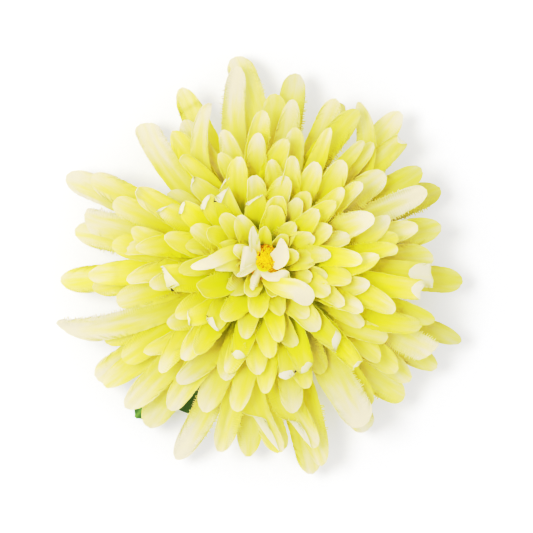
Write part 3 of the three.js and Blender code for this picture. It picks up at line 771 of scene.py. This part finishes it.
def thread_ends(plan, surface, seed):
    """Blades along the frayed edges: each starts a little inside the edge and points out across
    the petal, with a seeded lean. Returns corners, quads and what the cloth carries there."""
    points, normals = surface["points"], sheet_normals(surface["points"])
    s_edge = surface["cloth"][..., 0]
    corners, quads, carried = [], [], []
    rng = np.random.default_rng(seed)
    for side, start, stop in plan["fray"]:
        column = -1 if side > 0 else 0
        edge = points[:, column]
        s = s_edge[:, column]
        top = min(stop * surface["length"], s[-1])
        places = np.arange(start * surface["length"], top, THREAD_PITCH)
        places = places + rng.uniform(-THREAD_JITTER, THREAD_JITTER, len(places))

        def along_edge(values):
            """Those values where the threads stand."""
            return np.stack([np.interp(places, s, values[:, k]) for k in range(values.shape[1])], -1)

        base = along_edge(edge)
        forward = along_edge(np.gradient(edge, axis=0))
        forward /= np.linalg.norm(forward, axis=1, keepdims=True)
        normal = along_edge(normals[:, column])
        outward = side * np.cross(normal, forward)
        outward /= np.linalg.norm(outward, axis=1, keepdims=True)
        outward = outward + rng.uniform(*THREAD_LEAN, (len(places), 1)) * forward \
            + rng.uniform(*THREAD_LIFT, (len(places), 1)) * normal
        reach = rng.uniform(*THREAD_LENGTH, (len(places), 1)) * \
            smooth((top + 1 - places) / THREAD_FADE)[:, None]
        blade = []
        for shift, shrink in ((-THREAD_ROOT, 1.0), (reach, THREAD_TAPER)):
            middle = base + shift * outward
            for a, b in BLADE_CORNERS:
                blade.append(middle + shrink * (a * THREAD_WIDTH / 2 * forward
                                                + b * THREAD_THICKNESS / 2 * normal))
        blade = np.stack(blade, 1)
        if side < 0:
            blade = blade[:, [3, 2, 1, 0, 7, 6, 5, 4]]
        first = sum(len(c) for c in corners)
        quads.append((first + 8 * np.arange(len(places))[:, None, None] + BLADE_QUADS).reshape(-1, 4))
        corners.append(blade.reshape(-1, 3))
        cloth = along_edge(surface["cloth"][:, column])
        dye = along_edge(surface["dye"][:, column])
        carried.append(np.repeat(np.concatenate([cloth, dye], 1), 8, axis=0))
    if not corners:
        return np.zeros((0, 3)), np.zeros((0, 4), int), np.zeros((0, 6))
    return np.concatenate(corners), np.concatenate(quads), np.concatenate(carried)


corners, quads, _ = thread_ends(plans[1][14], petal_surface(plans[1][14], 60, 17), 1)
print("the ribbed petal at the lower left carries", len(corners) // 8, "thread ends")

# %% [markdown]
# Turned bodies. Hubs, peg and calyx are moulded or punched round things, so a profile turned
# about the axis is their true shape. Spin would do, but the same few lines of numpy make rings
# and closed bodies, and leave no seam to merge.

# %% Turning and mesh making
def turned(profile, sides):
    """Revolves [radius, height] pairs. A profile that ends where it began becomes a ring, and
    any other is closed by a flat cap at its first and last circle. Radii may vary round the
    circle where a pair's radius is an array with one value for each side."""
    ring = profile[0][1] == profile[-1][1] and np.all(profile[0][0] == profile[-1][0])
    if ring:
        profile = profile[:-1]
    angle = np.arange(sides) * 2 * math.pi / sides
    points = np.stack([
        np.stack([r * np.cos(angle), r * np.sin(angle), np.full(sides, float(z))], -1)
        for r, z in profile])
    count = len(profile)
    index = np.arange(count * sides).reshape(count, sides)
    above = np.roll(index, -1, axis=0) if ring else index[1:]
    below = index if ring else index[:-1]
    quads = np.stack([below, np.roll(below, -1, 1), np.roll(above, -1, 1), above], -1).reshape(-1, 4)
    caps = [] if ring else [index[0][::-1][None, :], index[-1][None, :]]
    return points.reshape(-1, 3), [quads, *caps]


def washer(inner, outer, low, high, sides):
    """A flat ring about the axis."""
    return turned([(inner, low), (outer, low), (outer, high), (inner, high), (inner, low)], sides)


def new_mesh(name, points, face_groups, attributes=None, sharp=50):
    """A mesh object from points in millimetres and groups of faces of equal size. Attributes are
    one number or one vector for each point. Edges steeper than `sharp` degrees stay crisp."""
    mesh = bpy.data.meshes.new(name)
    mesh.vertices.add(len(points))
    mesh.vertices.foreach_set("co", (np.asarray(points) * MM).astype(np.float32).ravel())
    sizes = np.concatenate([np.full(len(faces), faces.shape[1]) for faces in face_groups])
    corners = np.concatenate([faces.ravel() for faces in face_groups])
    mesh.loops.add(len(corners))
    mesh.loops.foreach_set("vertex_index", corners.astype(np.int32))
    mesh.polygons.add(len(sizes))
    mesh.polygons.foreach_set("loop_start", (np.cumsum(sizes) - sizes).astype(np.int32))
    mesh.polygons.foreach_set("use_smooth", np.ones(len(sizes), bool))
    mesh.update(calc_edges=True)
    for key, values in (attributes or {}).items():
        vector = np.ndim(values) == 2
        layer = mesh.attributes.new(key, "FLOAT_VECTOR" if vector else "FLOAT", "POINT")
        layer.data.foreach_set("vector" if vector else "value", np.asarray(values, np.float32).ravel())
    mesh.set_sharp_from_angle(angle=math.radians(sharp))
    piece = bpy.data.objects.new(name, mesh)
    bpy.context.scene.collection.objects.link(piece)
    return piece


def triangles(piece):
    """How many triangles a piece has."""
    return sum(len(polygon.vertices) - 2 for polygon in piece.data.polygons)


def volume(piece):
    """Enclosed volume in cubic millimetres. It is above 0 where the faces point outwards."""
    piece.data.calc_loop_triangles()
    co = np.zeros(len(piece.data.vertices) * 3, np.float32)
    piece.data.vertices.foreach_get("co", co)
    tri = np.zeros(len(piece.data.loop_triangles) * 3, np.int32)
    piece.data.loop_triangles.foreach_get("vertices", tri)
    a, b, c = (co.reshape(-1, 3)[tri.reshape(-1, 3)[:, k]].astype(float) for k in range(3))
    return float(np.einsum("ij,ij->i", a, np.cross(b, c)).sum() / 6) / MM ** 3


# %% [markdown]
# The petal layers. Each is taken to be one punched sheet: a hub with petals all round. The grid
# is finer on the long outer petals, whose outlines stand against the table, and coarser on the
# short ones inside, so that the whole bloom stays under a million triangles.

# %% Petal layers
GRIDS = {1: (66, 17), 2: (62, 17), 3: (54, 17), 4: (50, 15), 5: (46, 15), 6: (44, 15), 7: (42, 15),
         8: (40, 15), 9: (40, 17), 10: (38, 17), 11: (36, 17)}
HUB_SIDES = 64
HUB_DYE = [1.0, 1.0, 0.0]  # full depth of the dip, plain tone, no dust
THREAD_UNDERSIDE = 0.3  # thread ends are a little paler, as the underside is


def hub_ring(layer):
    """The punched middle of a layer: a flat washer on the peg."""
    _, _, radius, height = meridian(HEART_LEVEL if layer == NESTED_LAYERS else layer)
    hole = PIN_RADIUS + FIT_GAP if layer == LAYERS else HUB_HOLE_RADIUS
    return washer(hole, radius, height - HUB_THICKNESS / 2, height + HUB_THICKNESS / 2, HUB_SIDES)


def petal_layer(layer):
    """Hub, petals and thread ends of one layer as one mesh."""
    rows, columns = GRIDS[layer]
    slab = slab_faces(rows, columns)
    points, quads = [], []
    carried = {"cloth": [], "dye": [], "worn": [], "under": []}

    def take(corners, faces, *values):
        """Adds a part with its faces and what each of its corners carries."""
        quads.append(faces + sum(len(p) for p in points))
        points.append(corners)
        for rows_so_far, rows_added in zip(carried.values(), values):
            rows_so_far.append(rows_added)

    for plan in plans[layer]:
        surface = petal_surface(plan, rows, columns)
        take(both_faces(surface["points"], CLOTH_THICKNESS), slab,
             np.tile(surface["cloth"].reshape(-1, 3), (2, 1)),
             np.tile(surface["dye"].reshape(-1, 3), (2, 1)), np.tile(surface["worn"].ravel(), 2),
             np.repeat([0.0, 1.0], rows * columns))
        ends, blades, cloth_dye = thread_ends(plan, surface, 100 * layer + plan["index"])
        take(ends, blades, cloth_dye[:, :3], cloth_dye[:, 3:], np.ones(len(ends)),
             np.full(len(ends), THREAD_UNDERSIDE))
    ring, (ring_quads,) = hub_ring(layer)
    plain = np.zeros(len(ring))
    take(ring, ring_quads, np.zeros((len(ring), 3)), np.tile(HUB_DYE, (len(ring), 1)), plain, plain)
    return new_mesh(f"petals_{layer:02d}", np.concatenate(points), [np.concatenate(quads)],
                    {key: np.concatenate(rows) for key, rows in carried.items()})


petal_pieces = []
for layer in range(1, LAYERS + 1):
    piece = petal_layer(layer)
    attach(piece, "root")
    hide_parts(f"petal_layer_{layer:02d}")
    petal_pieces.append(piece)
    print(piece.name, triangles(piece), "triangles,", round(volume(piece)), "cubic mm")

# %% [markdown]
# The heart. The peg swells into a button under the crown, and the button is covered with coarse
# orange grains that show between the innermost petals. A bumpy material would look flat from the
# side, so the grains are real: one small ball of eighty faces, laid on the button by the golden
# angle, each turned, stretched and tinted by a seeded draw.

# %% Heart peg
PEG_RADIUS = 1.55
PEG_FOOT_HEIGHT = 2.6
BUTTON_RADIUS = 4.2
BUTTON_HEIGHT = 33.6
GRAIN_RADIUS = 0.29
GRAIN_COUNT = 900
MOUND_SHIFT = np.array([0.6, 1.5])
MOUND_ZONE = (30, 4)
MOUND_PARTS = (0, 0.08, 0.2, 0.4, 0.7, 1)
MOUND_RADII = (0.1, 1.4, 2.5, 3.7, 4.7, 4.2)
MOUND_HEIGHTS = (36.0, 35.8, 35.3, 33.9, 31.8, 28.5)
# The button's outline from its neck to its top: part of its radius, and depth below its top.
BUTTON_OUTLINE = [(0.57, 7.1), (0.86, 4), (1, 2.6), (0.98, 1.8), (0.88, 1), (0.7, 0.4)]
GRAIN_SCATTER = 0.16
GRAIN_STRETCH = (0.7, 1.35)
GOLDEN_ANGLE = math.pi * (3 - math.sqrt(5))


def ball():
    """Corners and triangles of a ball with eighty faces."""
    shape = bmesh.new()
    bmesh.ops.create_icosphere(shape, subdivisions=2, radius=1)
    corners = np.array([v.co for v in shape.verts])
    faces = np.array([[v.index for v in f.verts] for f in shape.faces])
    shape.free()
    return corners, faces


def turns(rng, count):
    """Random rotation matrices, from the QR factors of random ones."""
    q, r = np.linalg.qr(rng.normal(size=(count, 3, 3)))
    return q * np.sign(np.einsum("nii->ni", r))[:, None, :]


def heart_peg():
    """Shaft, button and pin as a turned body, and the grains on it. A grain's place runs from
    the pin outwards over the top and down the side as the golden angle turns."""
    top = BUTTON_HEIGHT
    pin_top = CROWN["height"] + HUB_THICKNESS / 2
    outline = [(0.4, PEG_FOOT_HEIGHT), (PEG_RADIUS, PEG_FOOT_HEIGHT + 0.3), (PEG_RADIUS, top - 10),
               *[(part * BUTTON_RADIUS, top - depth) for part, depth in BUTTON_OUTLINE],
               (PIN_RADIUS + 0.6, top), (PIN_RADIUS, top), (PIN_RADIUS, pin_top - 0.1), (0.4, pin_top)]
    points, groups = turned(outline, 48)
    rng = np.random.default_rng(11)
    order = np.arange(GRAIN_COUNT) + 0.5
    part = order / GRAIN_COUNT
    radius = np.interp(part, MOUND_PARTS, MOUND_RADII)
    height = np.interp(part, MOUND_PARTS, MOUND_HEIGHTS)
    angle = order * GOLDEN_ANGLE
    centre = np.stack([radius * np.cos(angle), radius * np.sin(angle), height], -1)
    centre[:, :2] += MOUND_SHIFT * rising(height, *MOUND_ZONE)[:, None]
    centre += rng.normal(scale=GRAIN_SCATTER, size=centre.shape)
    corners, faces = ball()
    size = GRAIN_RADIUS * rng.uniform(*GRAIN_STRETCH, (GRAIN_COUNT, 1, 3))
    grains = centre[:, None, :] + np.einsum("nij,nvj->nvi", turns(rng, GRAIN_COUNT), corners * size)
    shift = len(points) + len(corners) * np.arange(GRAIN_COUNT)
    grain_faces = (faces[None] + shift[:, None, None]).reshape(-1, 3)
    tint = np.repeat(rng.uniform(-1, 1, GRAIN_COUNT), len(corners))
    return new_mesh("heart_button", np.concatenate([points, grains.reshape(-1, 3)]),
                    [*groups, grain_faces],
                    {"tint": np.concatenate([np.zeros(len(points)), tint])}, sharp=60)


heart = heart_peg()
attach(heart, "root")
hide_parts("heart_peg")
print(heart.name, triangles(heart), "triangles,", GRAIN_COUNT, "grains")

# %% [markdown]
# The calyx. The photo doesn't show it. Heads of this kind mostly stand on a green moulding with
# shallow ribs, into which the peg is pressed. It is a turned body again, with a rib wave laid
# over its cup and small rounds where a mould has them.

# %% Calyx
CALYX_FOOT_RADIUS = 8
CALYX_RIM_RADIUS = 9.4
CALYX_WAIST_RADIUS = 5.6
GROOVE_HEIGHT = 1.5
WAIST_TOP = 3.4
CALYX_SIDES = 120
CALYX_RIBS = 15
RIB_HEIGHT = 0.16
MOULD_ROUND = 0.2


def calyx():
    """Foot, groove and ribbed cup with the peg's blind hole, turned about the axis. The ribs are
    a cosine wave round the cup that fades out at its rim and waist."""
    angle = np.arange(CALYX_SIDES) * 2 * math.pi / CALYX_SIDES
    ribs = RIB_HEIGHT * (np.cos(CALYX_RIBS * angle) - 1)
    rim = HUB_BASE_HEIGHT - HUB_THICKNESS / 2 - FIT_GAP
    hole = PEG_RADIUS + FIT_GAP
    even = np.zeros(CALYX_SIDES)
    foot, waist = even + CALYX_FOOT_RADIUS, even + CALYX_WAIST_RADIUS
    outline = [(even + 0.3, 0), (foot - 0.3, 0), (foot, 0.3), (foot, 0.85), (foot - 0.25, 1.1),
               (waist, GROOVE_HEIGHT), (waist, WAIST_TOP)]
    for part in np.linspace(0, 1, 9)[1:]:
        flare = (CALYX_RIM_RADIUS - CALYX_WAIST_RADIUS) * math.sin(part * math.pi / 2) ** 0.8
        outline.append((CALYX_WAIST_RADIUS + flare + ribs * math.sin(math.pi * part),
                        WAIST_TOP + (rim - WAIST_TOP - MOULD_ROUND) * part))
    floor = PEG_FOOT_HEIGHT - FIT_GAP
    outline += [(even + CALYX_RIM_RADIUS - MOULD_ROUND, rim), (even + hole + MOULD_ROUND, rim),
                (even + hole, rim - MOULD_ROUND), (even + hole, floor), (even + 0.3, floor)]
    points, groups = turned(outline, CALYX_SIDES)
    return new_mesh("calyx_cup", points, groups)


cup = calyx()
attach(cup, "root")
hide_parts("calyx")
print(cup.name, triangles(cup), "triangles,", round(volume(cup)), "cubic mm")

# %% [markdown]
# The leaf. One printed polyester leaf sticks out from under the bloom, held by a collar round
# the calyx. Its outline is lobed and toothed, and hot pressing has left the veins standing
# proud. A flat outline with Solidify would lose the veins, so it is a surface like the petals,
# whose half width follows the lobes.

# %% Leaf
LEAF_AZIMUTH = 230
LEAF_REACH = 60.5
LEAF_HEIGHT = 2.45
LEAF_ARCH = 1.3
LEAF_DROP = 0.5
LEAF_FOLD = 0.06
LEAF_CLOTH = 0.4
COLLAR_WIDTH = 1.5
COLLAR_THICKNESS = 1
LEAF_OUTLINE = [(5.8, 2.2), (12, 1.5), (18, 5.5), (21.5, 11), (25, 9.5), (28.5, 15.6), (32.5, 14.2),
                (35, 8.2), (38, 9.6), (42, 13.6), (46, 12.4), (49, 11.2), (51.3, 6.6), (54.5, 7.4),
                (58, 4.6), (LEAF_REACH, 0.6)]
VEIN_STARTS = (13, 20, 30, 40, 48)
VEIN_SLANT = 0.75
VEIN_WIDTHS = (0.5, 0.45)
VEIN_HEIGHT = 0.18
MIDRIB_PART, RIB_PART = 0.9, 0.7  # of that height
VEIN_ONSET = 1.5
BUCKLE = 0.25
BUCKLE_LENGTHS = (2.7, 3)
BUCKLE_FROM_MIDRIB = 5
TOOTH_RATE = 1.5
TOOTH_FADE = 4
TOOTH_DEPTH = 0.35
TOOTH_ZONE = (16, 4)
SLIM_ZONE = (40, 6)
SLIMMER = 0.5  # on the clockwise side the tip is this much narrower
LEAF_GRID = (230, 41)


def leaf():
    """Blade and collar. The half width runs through the outline's points with level ends between
    them and small teeth added; the veins are narrow ridges, the midrib along the middle and the
    others slanting out from it towards the lobes."""
    rows, columns = LEAF_GRID
    along = np.linspace(LEAF_OUTLINE[0][0], LEAF_REACH, rows)[:, None]
    v = np.linspace(-1, 1, columns)[None, :]
    places, halves = np.array(LEAF_OUTLINE).T
    k = np.clip(np.searchsorted(places, along) - 1, 0, len(places) - 2)
    part = (along - places[k]) / (places[k + 1] - places[k])
    half = halves[k] + (halves[k + 1] - halves[k]) * smooth(part)
    toothed = rising(along, *TOOTH_ZONE) * smooth((LEAF_REACH - along) / TOOTH_FADE)
    teeth = TOOTH_DEPTH * np.abs(np.sin(TOOTH_RATE * along)) * toothed
    slim = 1 - SLIMMER * rising(along, *SLIM_ZONE) * (v < 0)
    side = v * (half + teeth) * slim
    way = (along - places[0]) / (LEAF_REACH - places[0])
    height = LEAF_HEIGHT + LEAF_ARCH * np.sin(math.pi * way) - LEAF_DROP * way + LEAF_FOLD * np.abs(side)
    lengthwise, across = BUCKLE_LENGTHS
    height = height + BUCKLE * np.sin(along / lengthwise) * np.sin(np.abs(side) / across) \
        * smooth(np.abs(side) / BUCKLE_FROM_MIDRIB)
    midrib, rib = VEIN_WIDTHS
    vein = MIDRIB_PART * np.exp(-(side / midrib) ** 2)
    for start in VEIN_STARTS:
        off = np.abs(side) - VEIN_SLANT * (along - start)
        vein = np.maximum(vein, RIB_PART * np.exp(-(off / rib) ** 2) * rising(along, start, VEIN_ONSET))
    height = height + VEIN_HEIGHT * vein
    blade = both_faces(np.stack([along + 0 * side, side, height], -1), LEAF_CLOTH)
    inner, low = CALYX_WAIST_RADIUS + FIT_GAP, GROOVE_HEIGHT + FIT_GAP
    ring, (ring_quads,) = washer(inner, inner + COLLAR_WIDTH, low, low + COLLAR_THICKNESS, 72)
    angle = math.radians(LEAF_AZIMUTH)
    cos, sin = math.cos(angle), math.sin(angle)
    spin = np.array([[cos, -sin, 0], [sin, cos, 0], [0, 0, 1]])
    plain = np.zeros(len(ring))
    return new_mesh("lobed_leaf", np.concatenate([blade, ring]) @ spin.T,
                    [np.concatenate([slab_faces(rows, columns), ring_quads + len(blade)])], {
        "vein": np.concatenate([np.tile(vein.ravel(), 2), plain]),
        "under": np.concatenate([np.repeat([0.0, 1.0], rows * columns), plain]),
    })


green_leaf = leaf()
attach(green_leaf, "root")
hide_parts("leaf")
print(green_leaf.name, triangles(green_leaf), "triangles")

# %% [markdown]
# Materials. Each starts from what the real one most likely is. Colours are written as sRGB hex,
# as they are picked, and one function turns them to the linear values that the shader works with.
# One more function adds a node, sets its sockets, or links them where it is given another node's.

# %% Node helpers
def linear(colour):
    """sRGB hex to linear red, green, blue and alpha, by the standard's own curve."""
    parts = [int(colour[k:k + 2], 16) / 255 for k in (1, 3, 5)]
    return (*[c / 12.92 if c <= 0.04045 else ((c + 0.055) / 1.055) ** 2.4 for c in parts], 1)


def add(tree, kind, inputs=None, out=0, **settings):
    """Adds a node with its settings. Inputs are keyed by name or number: a socket is linked, and
    anything else is set as its value. Returns the node's output of that name or number."""
    node = tree.nodes.new(kind)
    for key, value in settings.items():
        setattr(node, key, value)
    for key, value in (inputs or {}).items():
        if isinstance(value, bpy.types.NodeSocket):
            tree.links.new(value, node.inputs[key])
        else:
            node.inputs[key].default_value = value
    return node.outputs[out] if len(node.outputs) else node


def new_material(name):
    """An empty material and its node tree."""
    material = bpy.data.materials.new(name)
    material.use_nodes = True
    material.node_tree.nodes.clear()
    return material, material.node_tree


def ramp(tree, factor, stops):
    """A colour ramp through the stops, given as (place, sRGB hex)."""
    output = add(tree, "ShaderNodeValToRGB", {0: factor})
    elements = output.node.color_ramp.elements
    while len(elements) < len(stops):
        elements.new(0.5)
    for element, (place, colour) in zip(elements, stops):
        element.position = place
        element.color = linear(colour)
    return output


def maths(tree, operation, *values, clamp=False):
    """One arithmetic node on numbers or sockets."""
    return add(tree, "ShaderNodeMath", dict(enumerate(values)), operation=operation, use_clamp=clamp)


def from_mesh(tree, name, out="Fac"):
    """What the mesh carries at each point under that name."""
    return add(tree, "ShaderNodeAttribute", out=out, attribute_name=name)


def object_place(tree):
    """The place on the object, in metres."""
    return add(tree, "ShaderNodeTexCoord", out="Object")


def noise(tree, place, scale, detail):
    """Soft noise at a place."""
    return add(tree, "ShaderNodeTexNoise", {"Vector": place, "Scale": scale, "Detail": detail}, out="Fac")


def mixed(tree, factor, first, second, blend="MIX"):
    """Two colours mixed, of which the second may be an sRGB hex."""
    second = linear(second) if isinstance(second, str) else second
    return add(tree, "ShaderNodeMix", {0: factor, 6: first, 7: second}, out=2,
               data_type="RGBA", blend_type=blend)


def bumped(tree, height, strength, distance):
    """A normal that follows a height."""
    return add(tree, "ShaderNodeBump", {"Height": height, "Strength": strength, "Distance": distance})


def surface_shader(tree, colour, normal, roughness, **more):
    """The main shader; further inputs are given by name, with _ for a space."""
    inputs = {"Base Color": colour, "Normal": normal, "Roughness": roughness}
    inputs.update({key.replace("_", " "): value for key, value in more.items()})
    return add(tree, "ShaderNodeBsdfPrincipled", inputs)


def see_through(tree, shader, colour, normal, share):
    """A share of the light passes through the cloth and takes on its colour."""
    glow = add(tree, "ShaderNodeBsdfTranslucent", {"Color": colour, "Normal": normal})
    return add(tree, "ShaderNodeMixShader", {0: share, 1: shader, 2: glow})


def sine(tree, place, pitch):
    """A wave along a place, with the given pitch."""
    return maths(tree, "SINE", maths(tree, "MULTIPLY", place, 2 * math.pi / pitch))


def finished(material, shader):
    """The material with the shader as its surface."""
    add(material.node_tree, "ShaderNodeOutputMaterial", {0: shader})
    return material


print("helpers ready; cream is", [round(c, 3) for c in linear("#F6F3D0")])

# %% [markdown]
# Petal cloth: satin-woven polyester, cut, dip-dyed from the base outwards and heat-set. The eye
# gets a soft, nearly matt cloth that lets light through, saturated yellow at the base and cream
# at the tip, a paler cut edge, and cross threads that stand out as ribs 0.7 mm apart where the
# edge has frayed. The dye follows the distance from the tip, which each point carries, streaked
# along the threads; dip and streaks are partly real dye and partly painted shade, and each petal's
# tone adds painted shade, mostly on the petals at the right. Light that passes through two or
# three petals turns deep yellow by itself.

# %% Dip-dyed polyester
# The dip's colours from the tip to the base; the saturated end also serves as painted shade where petals lie
# under the layer above.
DYE_AND_SHADE_STOPS = [(0.0, "#F5ECC2"), (0.11, "#F5EBAA"), (0.26, "#F5EC7C"), (0.45, "#F5EF38"), (0.7, "#F3F60A")]
UNDERSIDE = "#F3F1DA"
DUSTED = "#F8CC00"
RIB_PITCH = 0.7
WEAVE_PITCH = 0.42
STREAK_SCALE = (0.07, 0.42, 1.0)  # streaks run about six times as long as they are wide


def dip_dyed_polyester():
    """Dye by distance from the tip, partly painted shade, darkened as painted shade by each petal's tone;
    edge and underside paler, ribs and weave as bump.
    """
    material, tree = new_material("dip_dyed_polyester")
    cloth = from_mesh(tree, "cloth", "Vector")
    depth, tone, dust = add(tree, "ShaderNodeSeparateXYZ", {0: from_mesh(tree, "dye", "Vector")}).node.outputs
    along, across, _ = add(tree, "ShaderNodeSeparateXYZ", {0: cloth}).node.outputs
    # Streaks along the threads: partly uneven dye, partly painted shade of lengthwise folds and overlaps.
    streak_place = add(tree, "ShaderNodeMapping", {"Vector": cloth, "Scale": STREAK_SCALE})
    streaks = maths(tree, "MULTIPLY_ADD", noise(tree, streak_place, scale=1.0, detail=3.0), 0.5, -0.25)
    dip = maths(tree, "ADD", depth, streaks, clamp=True)
    colour = mixed(tree, maths(tree, "MULTIPLY", dust, 0.8), ramp(tree, dip, DYE_AND_SHADE_STOPS), DUSTED)
    paler = maths(tree, "MULTIPLY_ADD", dip, -0.75, 0.75, clamp=True)
    colour = mixed(tree, maths(tree, "MULTIPLY", from_mesh(tree, "under"), paler), colour, UNDERSIDE)
    # Painted shade: the tone darkens whole petals, mostly those at the right, besides a little tone that
    # differs at random.
    colour = mixed(tree, 1.0, colour, tone, blend="MULTIPLY")
    rib_height = maths(tree, "MULTIPLY_ADD", from_mesh(tree, "worn"), 1.4, 0.08)
    ribs = maths(tree, "MULTIPLY", sine(tree, along, RIB_PITCH), rib_height)
    weave = maths(tree, "MULTIPLY", sine(tree, across, WEAVE_PITCH), 0.12)
    creases = noise(tree, cloth, scale=0.55, detail=4.0)
    relief = maths(tree, "MULTIPLY_ADD", creases, 3.5, maths(tree, "ADD", ribs, weave))
    normal = bumped(tree, relief, strength=0.5, distance=0.08 * MM)
    shader = surface_shader(tree, colour, normal, roughness=0.72, IOR=1.5, Specular_IOR_Level=0.3,
                            Sheen_Weight=0.15, Sheen_Roughness=0.5)
    return finished(material, see_through(tree, shader, colour, normal, share=0.5))


petal_cloth = dip_dyed_polyester()
for piece in petal_pieces:
    piece.data.materials.append(petal_cloth)
print(petal_cloth.name, len(petal_cloth.node_tree.nodes), "nodes")

# %% [markdown]
# Heart button: a moulded core rolled in dyed sawdust-like grains. It scatters light like crumbs,
# with no gloss, and each grain has its own orange or yellow.

# %% Dyed grains
def dyed_grains():
    """Orange to yellow by grain, with a fine speckle of grit 0.15 mm across as bump."""
    material, tree = new_material("dyed_grains")
    grit = noise(tree, object_place(tree), scale=6500.0, detail=2.0)
    speckle = maths(tree, "MULTIPLY_ADD", grit, 0.5, 0.25)
    shade = maths(tree, "MULTIPLY_ADD", from_mesh(tree, "tint"), 0.42, speckle, clamp=True)
    colour = ramp(tree, shade, [(0.0, "#DC9600"), (0.5, "#E6AC00"), (1.0, "#EDC216")])
    normal = bumped(tree, grit, strength=0.4, distance=0.05 * MM)
    return finished(material, surface_shader(tree, colour, normal, roughness=0.88, Specular_IOR_Level=0.2))


heart.data.materials.append(dyed_grains())
print(heart.data.materials[0].name)

# %% [markdown]
# Calyx: injection-moulded polyethylene, mid green. The mould gives it a satin skin with a faint
# waviness, and polyethylene itself a soft, slightly waxy highlight.

# %% Moulded polyethylene
def moulded_polyethylene():
    """Green with slow changes of tone, fine mould texture 0.4 mm across as bump."""
    material, tree = new_material("moulded_polyethylene")
    place = object_place(tree)
    slow = noise(tree, place, scale=160.0, detail=2.0)
    fine = noise(tree, place, scale=2500.0, detail=3.0)
    colour = ramp(tree, slow, [(0.3, "#5E7F2E"), (0.7, "#779A45")])
    normal = bumped(tree, fine, strength=0.35, distance=0.05 * MM)
    return finished(material, surface_shader(tree, colour, normal, roughness=0.45, IOR=1.51))


cup.data.materials.append(moulded_polyethylene())
print(cup.data.materials[0].name)

# %% [markdown]
# Leaf: polyester cloth printed green on both sides, then hot-pressed. The print is darker on top
# and lighter on the veins, where the press has stretched it, and the weave shows as a fine
# grain.

# %% Printed polyester
LEAF_WEAVE_PITCH = 0.45


def printed_polyester():
    """Mottled green, paler on the veins and underneath, weave 0.45 mm apart as bump."""
    material, tree = new_material("printed_polyester")
    place = object_place(tree)
    mottle = noise(tree, place, scale=260.0, detail=4.0)
    colour = ramp(tree, mottle, [(0.3, "#2F5A0C"), (0.7, "#4B7A1B")])
    for name, share, paler in (("vein", 0.55, "#86A24A"), ("under", 0.5, "#7F9A57")):
        colour = mixed(tree, maths(tree, "MULTIPLY", from_mesh(tree, name), share), colour, paler)
    x, y, _ = add(tree, "ShaderNodeSeparateXYZ", {0: place}).node.outputs
    weave = maths(tree, "MULTIPLY", *[sine(tree, way, LEAF_WEAVE_PITCH * MM) for way in (x, y)])
    normal = bumped(tree, weave, strength=0.4, distance=0.06 * MM)
    shader = surface_shader(tree, colour, normal, roughness=0.62, Specular_IOR_Level=0.4)
    return finished(material, see_through(tree, shader, colour, normal, share=0.12))


green_leaf.data.materials.append(printed_polyester())
print(green_leaf.data.materials[0].name)

# %% [markdown]
# The stage. A product table: matt white paper, lit so brightly that it burns out to white, with
# a large soft light high on the left that leaves short grey shadows to the right of the petals.
# White light from all round fills them in. The photo's curve holds the highlights back, which a
# plain view does not: there all of the bloom would be either burnt out or too dark between the
# petals. So the view gets a curve, which lifts the middle tones and gets flat above them.

# %% Table and light
TABLE_SIZE = 8
TABLE_HEIGHT = -2e-5
KEY_DIRECTION = (-0.37, 0.06, 0.92)
KEY_DISTANCE = 1.1
KEY_SIZE = 0.42
KEY_POWER = 8
SKY_STRENGTH = 1.18
SKY_COLOUR = (1.0, 0.992, 0.975, 1.0)
FILM_WHITE = 1.5
FILM_CURVE = [(0.1, 0.1), (0.22, 0.25), (0.37, 0.5), (0.5, 0.66), (0.94, 0.83), (1.15, 0.905)]


def add_table():
    """A large sheet just under the foot, with a whisper of paper grain."""
    half = TABLE_SIZE / 2
    mesh = bpy.data.meshes.new("paper_table")
    corners = [(x * half, y * half, TABLE_HEIGHT) for x, y in ((-1, -1), (1, -1), (1, 1), (-1, 1))]
    mesh.from_pydata(corners, [], [(0, 1, 2, 3)])
    table = bpy.data.objects.new("paper_table", mesh)
    bpy.context.scene.collection.objects.link(table)
    material, tree = new_material("white_paper")
    grain = noise(tree, object_place(tree), scale=900.0, detail=2.0)
    colour = ramp(tree, grain, [(0.2, "#F3F4F8"), (0.8, "#F6F7FB")])
    shader = add(tree, "ShaderNodeBsdfPrincipled", {
        "Base Color": colour, "Roughness": 0.95, "Specular IOR Level": 0.1})
    mesh.materials.append(finished(material, shader))
    return table


def add_light():
    """The soft light, aimed at the bloom, and the white surroundings."""
    data = bpy.data.lights.new("soft_light", "AREA")
    data.shape = "DISK"
    data.size = KEY_SIZE
    data.energy = KEY_POWER
    light = bpy.data.objects.new("soft_light", data)
    direction = np.array(KEY_DIRECTION) / np.linalg.norm(KEY_DIRECTION)
    light.location = direction * KEY_DISTANCE
    light.rotation_euler = light.location.to_track_quat("Z", "Y").to_euler()
    bpy.context.scene.collection.objects.link(light)
    world = bpy.data.worlds.new("white_studio")
    world.use_nodes = True
    world.node_tree.nodes.clear()
    sky = add(world.node_tree, "ShaderNodeBackground", {"Color": SKY_COLOUR, "Strength": SKY_STRENGTH})
    add(world.node_tree, "ShaderNodeOutputWorld", {0: sky})
    bpy.context.scene.world = world


def set_film():
    """The plain view, with the highlights held back by the curve over scene brightness."""
    view = bpy.context.scene.view_settings
    view.view_transform = "Standard"
    view.use_curve_mapping = True
    film = view.curve_mapping
    film.white_level = (FILM_WHITE, FILM_WHITE, FILM_WHITE)
    for place, value in FILM_CURVE:
        film.curves[3].points.new(place / FILM_WHITE, value)
    film.update()


add_table()
add_light()
set_film()
print("table and light ready")

# %% [markdown]
# The triangles of all the pieces are counted together.

# %% Triangles in all
print("triangles in all:", sum(triangles(o) for o in [*petal_pieces, heart, cup, green_leaf]))
